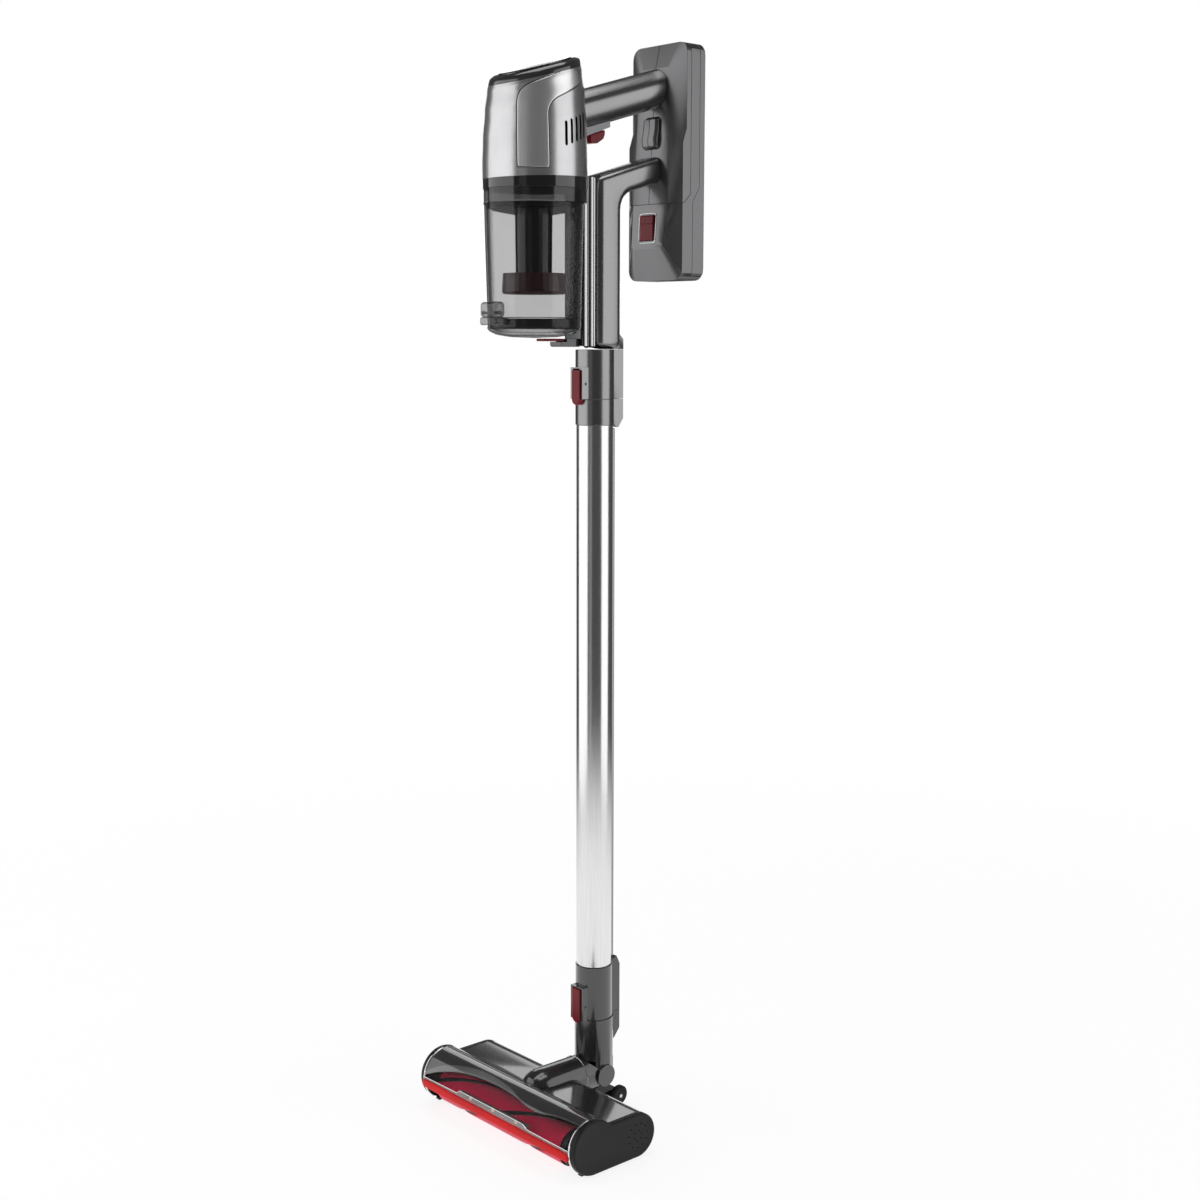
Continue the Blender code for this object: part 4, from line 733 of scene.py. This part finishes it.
def make_spine_front():
    """Front strip of the duct: two rounded ribs down each side, and a hollow round the cup painted black as
    painted shade.
    """
    low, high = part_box("spine_front")
    half, back, reach = high.x, high.y, BODY_R + 0.0006
    front = BODY_Y + math.sqrt(reach * reach - half * half)
    rib_depth, groove = 0.0022, 0.0010
    middle = front + 0.0075
    side = []
    for start, end in ((front, middle), (middle + groove, back - 0.0032)):
        for i in range(9):
            turn = math.pi * i / 8
            y = (start + end) / 2 - (end - start) / 2 * math.cos(turn)
            side.append((half - rib_depth + rib_depth * math.sin(turn), y))
    side += [(half - 0.0040, back - 0.0030), (half - 0.0040, back)]
    spread = math.degrees(math.asin(half / reach))
    bowl = arc((0.0, BODY_Y), reach, 90.0 + spread, 90.0 - spread, 16)[1:-1]
    outline = side + [(-x, y) for x, y in side[::-1]] + bowl
    heights = (low.z, low.z + 0.0006, high.z - 0.0030, high.z - 0.0002)
    maker = capped_skin([[Vector((x, y, z)) for x, y in outline] for z in heights])
    made = piece("spine_strip", maker, "silver", "spine_front", sharp=50.0)
    # The faces towards the cup get black gloss: painted shade, seen through the cup.
    made.data.materials.append(MATERIALS["gloss"])
    for face in made.data.polygons:
        if face.normal.y < -0.6:
            face.material_index = 1


def make_button_frame():
    """Pale frame round the battery's release button, and the rib across the button."""
    low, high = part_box("battery_button")
    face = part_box("battery_case_front")[0]
    lean, lean_foot = 0.0637, face.z + 0.0313       # the case's front leans back from this height up
    middle, margin, corner = (low + high) / 2, 0.0022, 0.0035
    half_x, half_z = (high.x - low.x) / 2 + margin, (high.z - low.z) / 2 + margin
    points = []
    for side, up, start in ((1, 1, 0.0), (-1, 1, 90.0), (-1, -1, 180.0), (1, -1, 270.0)):
        centre = (side * (half_x - corner), middle.z + up * (half_z - corner))
        for x, z in arc(centre, corner, start, start + 90.0, 6):
            points.append(Vector((x, face.y + lean * (z - lean_foot), z)))
    bead = 0.0005
    wire("button_frame", points, bead, "bright", "battery_case_front", closed=True)
    rib_z, inset = high.z - (high.z - low.z) * 0.33, 0.0015
    rib = [Vector((low.x + inset, low.y, rib_z)), Vector((high.x - inset, low.y, rib_z))]
    wire("button_rib", rib, bead, "red", "battery_button")


def make_swivel_ring():
    """Fine bright seam where the elbow's flange meets the yoke."""
    low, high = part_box("elbow")
    radius = (high.x - low.x) / 2 - 0.0001
    centre = Vector((0.0, high.y - 0.0002, high.z - radius))
    ring = [centre + Vector((radius * math.sin(a), 0.0, radius * math.cos(a))) for a in turns(72)]
    wire("swivel_seam", ring, 0.0004, "silver", "elbow", 6, closed=True)


# ---------------------------------------------------------------- floor head

WINDOW_LOW, WINDOW_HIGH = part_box("brush_window")
WINDOW_REAR, WINDOW_FOOT = 79.0, 177.0       # angles round the nose
NOSE_R = 0.0275
NOSE_Y = WINDOW_LOW.y + NOSE_R
NOSE_Z = WINDOW_HIGH.z - NOSE_R
TAIL_R = 0.0225
TAIL_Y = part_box("left_end_cap")[1].y - TAIL_R
TAIL_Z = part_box("left_end_cap")[0].z + TAIL_R
# Edges across the window, as (x, angle round the nose)
COVER_EDGE = ((-0.119, 172.0), (-0.092, 148.0), (-0.062, 130.0), (-0.020, 121.0), (0.015, 123.0),
              (0.055, 133.5), (0.088, 122.0), (0.119, 118.0))
LIP_EDGE = ((-0.119, 166.0), (-0.095, 135.0), (-0.060, 111.0), (-0.030, 104.0), (0.010, 113.0),
            (0.040, 133.0), (0.119, 150.0))
LEDGE_TOP = ((-0.119, 174.5), (-0.060, 173.0), (-0.055, 166.5), (0.046, 166.5), (0.057, 173.0),
             (0.119, 173.5))
LEDGE_FOOT = 183.0
ROW_COUNT = 3                    # bristle rows on the roller


def nose_point(x, angle, radius):
    """A point at an angle round the nose; 90 is up and 180 is forward."""
    turn = math.radians(angle)
    return Vector((x, NOSE_Y + radius * math.cos(turn), NOSE_Z + radius * math.sin(turn)))


def nose_angle(point):
    """The angle of a point round the nose."""
    return math.degrees(math.atan2(point.z - NOSE_Z, point.y - NOSE_Y)) % 360.0


def evenly(start, end, steps):
    """Evenly spaced values, with both ends."""
    return [start + (end - start) * i / steps for i in range(steps + 1)]


def make_window():
    """Brush window with its dark cover, wavy lip and clear front."""
    xs, angles = evenly(WINDOW_LOW.x, WINDOW_HIGH.x, 168), evenly(WINDOW_REAR, WINDOW_FOOT, 52)
    maker, _ = grid_skin([[nose_point(x, angle, NOSE_R) for x in xs] for angle in angles])
    made = piece("window_shell", maker, "window", "brush_window")
    unit = math.radians(1.0) * NOSE_R * 1000 * 0.85       # about a millimetre of edge for each degree
    carry(made, "cover", lambda point: (curve_at(COVER_EDGE, point.x) - nose_angle(point)) * unit)
    carry(made, "lip", lambda point: (nose_angle(point) - curve_at(LIP_EDGE, point.x)) * unit)
    thicken(made, 0.0016)


def make_ledge():
    """Clear stepped ledge over the light strip, in front of the window's foot, and a bright bead along its
    top edge as a painted highlight.
    """
    xs = evenly(WINDOW_LOW.x + 0.0006, WINDOW_HIGH.x - 0.0006, 150)
    rows = 8
    grid = []
    for k in range(rows + 1):
        row = []
        for x in xs:
            top = along(LEDGE_TOP, x)
            row.append(nose_point(x, LEDGE_FOOT + (top - LEDGE_FOOT) * k / rows, NOSE_R + 0.0012))
        grid.append(row)
    made = piece("light_ledge", grid_skin(grid)[0], "frost", "led_lens", stands_for=False)
    thicken(made, 0.0011)
    round_edges(made, 0.0003, 2, 30.0)
    # A bright bead along the ledge's top edge: a painted highlight.
    line = [nose_point(x, along(LEDGE_TOP, x), NOSE_R + 0.0013) for x in xs]
    wire("ledge_highlight_bead", line, 0.00035, "bright", "brush_window")


def make_leds():
    """Three warm light chips on the board."""
    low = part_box("led_board")[0]
    first, pitch = low + Vector((0.0151, -0.0003, 0.0014)), Vector((0.0372, 0.0, 0.0))
    for i in range(3):
        maker = bmesh.new()
        bmesh.ops.create_cube(maker, size=1.0)
        bmesh.ops.scale(maker, vec=(0.0036, 0.0008, 0.0026), verts=maker.verts[:])
        bmesh.ops.bevel(maker, geom=maker.edges[:], offset=0.00025, segments=2, affect="EDGES")
        bmesh.ops.translate(maker, verts=maker.verts[:], vec=first + pitch * i)
        piece(f"led_chip_{i}", maker, "led", "led_board", stands_for=False)


def row_distance(share):
    """Degrees round the roller to the nearest bristle row."""
    in_row = (share * ROW_COUNT) % 1.0
    return min(in_row, 1.0 - in_row) * 360.0 / ROW_COUNT


def make_roller():
    """Napped roller with dark helical bristle rows in shallow grooves, on a black core."""
    low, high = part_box("brush_roller")
    middle = centre_of("brush_roller")
    radius = (high.z - low.z) / 2
    start, end = low.x + 0.0112, high.x - 0.0244
    around, twist = 90, 1000 / 0.9         # steps round the roller, degrees of twist per metre
    rows = []
    for x in evenly(start, end, 110):
        row = []
        for k in range(around):
            share = k / around
            angle = math.radians(150.0 + 360.0 * share - (x - 0.004) * twist)
            away = min(1.0, max(0.0, row_distance(share) - 5.0) / 9.0)
            reach = radius * (1.0 - 0.075 * (1.0 - away) ** 2)
            row.append(Vector((x, middle.y + reach * math.cos(angle), middle.z + reach * math.sin(angle))))
        rows.append(row)
    made = piece("roller_pile", grid_skin(rows, closed=True)[0], "nap", "brush_roller")
    made.data.materials.append(MATERIALS["bristle"])
    for face in made.data.polygons:
        if row_distance((face.index % around + 0.5) / around) < 7.0:
            face.material_index = 1
    make_roller_core(start, end, radius)


def make_roller_core(start, end, radius):
    """Black core of the roller with a collar at each end of the nap, the hub and the shafts."""
    low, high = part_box("brush_roller")
    middle = centre_of("brush_roller")
    shaft, hub, tube, collar = 0.0030, radius * 0.52, radius * 0.85, radius * 0.93
    collar_end, near_end, hub_end = start - 0.0012, high.x - 0.0181, high.x - 0.0106
    core = [(0.0, low.x), (shaft, low.x), (shaft, collar_end), (collar, collar_end), (collar, start + 0.002)]
    core += [(tube, start + 0.003), (tube, end - 0.001), (collar, end), (collar, near_end), (hub, near_end)]
    core += [(hub, hub_end), (shaft, hub_end), (shaft, high.x), (0.0, high.x)]
    maker = turned(rounded_profile(core, 0.0005, 2), "X", Vector((0.0, middle.y, middle.z)), 64)
    piece("roller_core", maker, "black", "brush_roller", stands_for=False)


def cap_outline(inset, steps=40):
    """The end cap's side outline: round the tail, then round the nose."""
    deck = TAIL_Z + TAIL_R - inset
    notch = math.degrees(math.asin((deck - NOSE_Z) / (NOSE_R - inset)))
    tail = arc((TAIL_Y, TAIL_Z), TAIL_R - inset, -90.0, 90.0, steps)
    return tail + arc((NOSE_Y, NOSE_Z), NOSE_R - inset, notch, 270.0, steps)


def hole_cutter(outer):
    """Two rings of small pins that cut the cap's vent holes."""
    maker = bmesh.new()
    across = Vector((0, 0, 1)).rotation_difference(Vector((1, 0, 0))).to_matrix()
    size = {"segments": 16, "radius1": 0.0008, "radius2": 0.0008, "depth": 0.0030}
    for count, radius, phase in ((6, 0.0053, 0.3), (11, 0.0124, 0.1)):
        for turn in turns(count):
            angle = turn + phase
            place = Vector((outer, TAIL_Y + radius * math.cos(angle), TAIL_Z + radius * math.sin(angle)))
            pin = bmesh.ops.create_cone(maker, cap_ends=True, **size)
            bmesh.ops.rotate(maker, verts=pin["verts"], matrix=across)
            bmesh.ops.translate(maker, verts=pin["verts"], vec=place)
    return new_object("hole_cutter", maker)


def make_end_caps():
    """End caps with a rounded rim and vent holes, and the bright rim of the window beside them."""
    for word, side in (("left", 1.0), ("right", -1.0)):
        node = f"{word}_end_cap"
        low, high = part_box(node)
        outer, inner = (high.x, low.x) if side > 0 else (low.x, high.x)
        rows = []
        for inset, x in ((0.0, inner), (0.0, outer - side * 0.0012), (0.00035, outer - side * 0.0004),
                         (0.0011, outer), (0.0030, outer), (0.0040, outer - side * 0.0002)):
            rows.append([Vector((x, y, z)) for y, z in cap_outline(inset)])
        made = piece(f"{node}_shell", capped_skin(rows), "black", node)
        cut_away(made, [hole_cutter(outer)])
        rim = [nose_point(inner - side * 0.0012, angle, NOSE_R + 0.0001) for angle in evenly(97.0, 235.0, 48)]
        wire(f"{word}_window_rim", rim, 0.0010, "bright", "brush_window", 10)


def make_bumper():
    """Soft bumper strip, nearly square in section, with round ends."""
    low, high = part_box("bumper_strip")
    centre = centre_of("bumper_strip")
    half_y, half_z = (high.y - low.y) / 2, (high.z - low.z) / 2
    squareness = 0.6
    ends = ((0.0, 0.0), (0.0004, 0.5), (0.0012, 0.8), (0.0024, 0.97), (0.0036, 1.0))    # (inset, scale)
    stations = [(low.x + inset, scale) for inset, scale in ends]
    stations += [(high.x - inset, scale) for inset, scale in ends[::-1]]
    rows = []
    for x, scale in stations:
        row = []
        for angle in turns(32):
            c, n = math.cos(angle), math.sin(angle)
            row.append(Vector((x, centre.y + half_y * scale * math.copysign(abs(c) ** squareness, c),
                               centre.z + half_z * scale * math.copysign(abs(n) ** squareness, n))))
        rows.append(row)
    maker, _ = grid_skin(rows, closed=True)
    bmesh.ops.remove_doubles(maker, verts=maker.verts[:], dist=0.00001)
    piece("bumper_bead", maker, "bumper", "bumper_strip", sharp=60.0)


# ---------------------------------------------------------------- wand

WAND_LOW, WAND_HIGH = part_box("wand_tube")
WAND_CENTRE = Vector((0.0, (WAND_LOW.y + WAND_HIGH.y) / 2, 0.0))


def make_tube():
    """Smooth satin tube with rolled ends."""
    low, high = WAND_LOW.z, WAND_HIGH.z
    radius = (WAND_HIGH.x - WAND_LOW.x) / 2
    inside = radius - 0.0015
    profile = [(inside, low), (radius, low), (radius, high), (inside, high), (inside, low)]
    maker = turned(rounded_profile(profile, 0.0004, 2), "Z", WAND_CENTRE, 128)
    piece("tube_skin", maker, "aluminium", "wand_tube")


def make_sleeve(node, low, high, finish):
    """Smooth round skin over a joint collar."""
    radius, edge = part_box(node)[1].x + 0.00008, 0.0004
    profile = [(radius - edge, low), (radius, low + edge), (radius, high - edge), (radius - edge, high)]
    maker = turned(profile + profile[:1], "Z", WAND_CENTRE, 128)
    piece(f"{node}_sleeve", maker, finish, node, stands_for=False)


def make_sleeves():
    """Sleeves of the three joint collars, from the neck up."""
    nozzle_low, nozzle_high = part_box("nozzle_collar")
    make_sleeve("lower_collar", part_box("lower_collar")[0].z, WAND_LOW.z - GAP, "graphite")
    make_sleeve("wand_top_collar", WAND_HIGH.z + GAP, nozzle_low.z - GAP, "gunmetal")
    make_sleeve("nozzle_collar", nozzle_low.z, nozzle_high.z, "gunmetal")


# ---------------------------------------------------------------- whole object

SOFT_EDGES = {
    "head_housing": 0.0006, "elbow": 0.0008, "yoke": 0.0006, "neck_tube": 0.0006, "lower_collar": 0.0006,
    "wand_top_collar": 0.0005, "nozzle_collar": 0.0006, "spine_duct": 0.0006, "handle": 0.0005,
    "slab_housing_left": 0.0006, "slab_housing_right": 0.0006, "battery_case_front": 0.0006,
    "battery_case_rear": 0.0006, "trigger_block": 0.0006, "wheel_bracket": 0.0004, "lid_tail": 0.0005,
}
ROUND_NODES = ("spine_duct", "handle")       # their facets are wider, so only sharper edges count


def make_looks():
    """Paint the CAD's nodes, then build the pieces that stand for or dress them."""
    for node, obj in frame["nodes"].items():
        paint(obj, node_finish(node))
    for node, width in SOFT_EDGES.items():
        if node in ROUND_NODES:
            softened(node, width, 50.0, 50.0)
        else:
            softened(node, width, 32.0, 30.0)
    make_housing()
    make_top_panel()
    make_window()
    make_ledge()
    make_leds()
    make_roller()
    make_end_caps()
    make_bumper()
    make_tube()
    make_cup()
    make_lid()
    make_hinge()
    make_spine_front()
    make_swivel_ring()
    make_button_frame()
    make_sleeves()


# ---------------------------------------------------------------- studio

FLOOR_R = 1.8
WALL_LIGHT = 0.07                # how bright the surroundings look to shiny parts
WHITE = (1.0, 1.0, 1.0, 1.0)
CAMERA_PLACE = (1.3234, -1.15565, 0.8016)
CAMERA_TURN, CAMERA_DOWN, CAMERA_ROLL = 48.42, 8.33, -0.116        # degrees
LENS_LENGTH, SENSOR_WIDTH = 52.39, 36.0                            # millimetres


def area_light(name, place, target, size, power):
    """A soft rectangular light aimed at a point."""
    light = bpy.data.lights.new(name, "AREA")
    light.shape = "RECTANGLE"
    light.size, light.size_y = size
    light.energy = power
    made = bpy.data.objects.new(name, light)
    made.location = place
    made.rotation_euler = (Vector(target) - Vector(place)).to_track_quat("-Z", "Y").to_euler()
    made.visible_camera = False
    bpy.context.scene.collection.objects.link(made)


def make_surroundings():
    """White backdrop, with dim grey walls for the shiny parts to mirror."""
    world = bpy.data.worlds.new("surroundings")
    world.use_nodes = True
    tree = world.node_tree
    walls = tree.nodes["Background"]
    walls.inputs["Color"].default_value = WHITE
    walls.inputs["Strength"].default_value = WALL_LIGHT
    backdrop = tree.nodes.new("ShaderNodeBackground")
    backdrop.inputs["Color"].default_value = WHITE
    backdrop.inputs["Strength"].default_value = 1.0
    path = tree.nodes.new("ShaderNodeLightPath")
    mix = tree.nodes.new("ShaderNodeMixShader")
    tree.links.new(path.outputs["Is Camera Ray"], mix.inputs["Fac"])
    tree.links.new(walls.outputs[0], mix.inputs[1])
    tree.links.new(backdrop.outputs[0], mix.inputs[2])
    tree.links.new(mix.outputs[0], tree.nodes["World Output"].inputs["Surface"])
    bpy.context.scene.world = world


def floor_material():
    """Pale, mostly self-lit paint that fades out towards the floor's edge."""
    made, tree, shader, where = new_material("floor_paint")
    shader.inputs["Base Color"].default_value = (0.22, 0.22, 0.22, 1.0)
    shader.inputs["Roughness"].default_value = 0.8
    shader.inputs["Specular IOR Level"].default_value = 0.1
    shader.inputs["Emission Color"].default_value = WHITE
    shader.inputs["Emission Strength"].default_value = 0.86
    reach = tree.nodes.new("ShaderNodeVectorMath")
    reach.operation = "LENGTH"
    tree.links.new(where, reach.inputs[0])
    fade = step(tree, reach.outputs["Value"], FLOOR_R * 0.22, FLOOR_R * 0.98, 1.0, 0.0)
    tree.links.new(fade, shader.inputs["Alpha"])
    return made


def make_floor():
    """Pale round floor that fades into the backdrop."""
    maker = bmesh.new()
    bmesh.ops.create_circle(maker, cap_ends=True, segments=96, radius=FLOOR_R)
    floor = new_object("floor", maker)
    floor.location.z = -0.0005
    floor.data.materials.append(floor_material())


def make_camera():
    """The camera at the photo's viewing angle."""
    lens = bpy.data.cameras.new("camera")
    lens.lens = LENS_LENGTH
    lens.sensor_width = SENSOR_WIDTH
    camera = bpy.data.objects.new("camera", lens)
    camera.location = CAMERA_PLACE
    angles = (90.0 - CAMERA_DOWN, CAMERA_ROLL, CAMERA_TURN)
    camera.rotation_euler = [math.radians(angle) for angle in angles]
    bpy.context.scene.collection.objects.link(camera)
    bpy.context.scene.camera = camera


def softbox(name, azimuth, distance, height, size, power):
    """A tall soft light standing at an azimuth round the object; 0 is in front of it."""
    turn = math.radians(azimuth)
    place = (distance * math.sin(turn), -distance * math.cos(turn), height)
    area_light(name, place, (0.0, 0.0, height - 0.05), size, power)


def make_studio():
    """Floor, surroundings, soft lights and the camera."""
    make_surroundings()
    make_floor()
    softbox("left_box", -32.0, 2.0, 0.9, (2.9, 2.6), 30.0)
    softbox("right_box", 120.0, 2.0, 0.9, (1.9, 2.6), 19.0)
    softbox("fill_box", 24.0, 2.6, 0.9, (0.7, 2.6), 1.0)
    softbox("back_box", 230.0, 2.4, 1.25, (1.9, 0.9), 8.0)
    area_light("top", (0.0, 0.0, 2.9), (0.0, 0.0, 0.0), (1.8, 1.8), 22.0)
    make_camera()
    bpy.context.scene.view_settings.view_transform = "Standard"


make_looks()
make_studio()
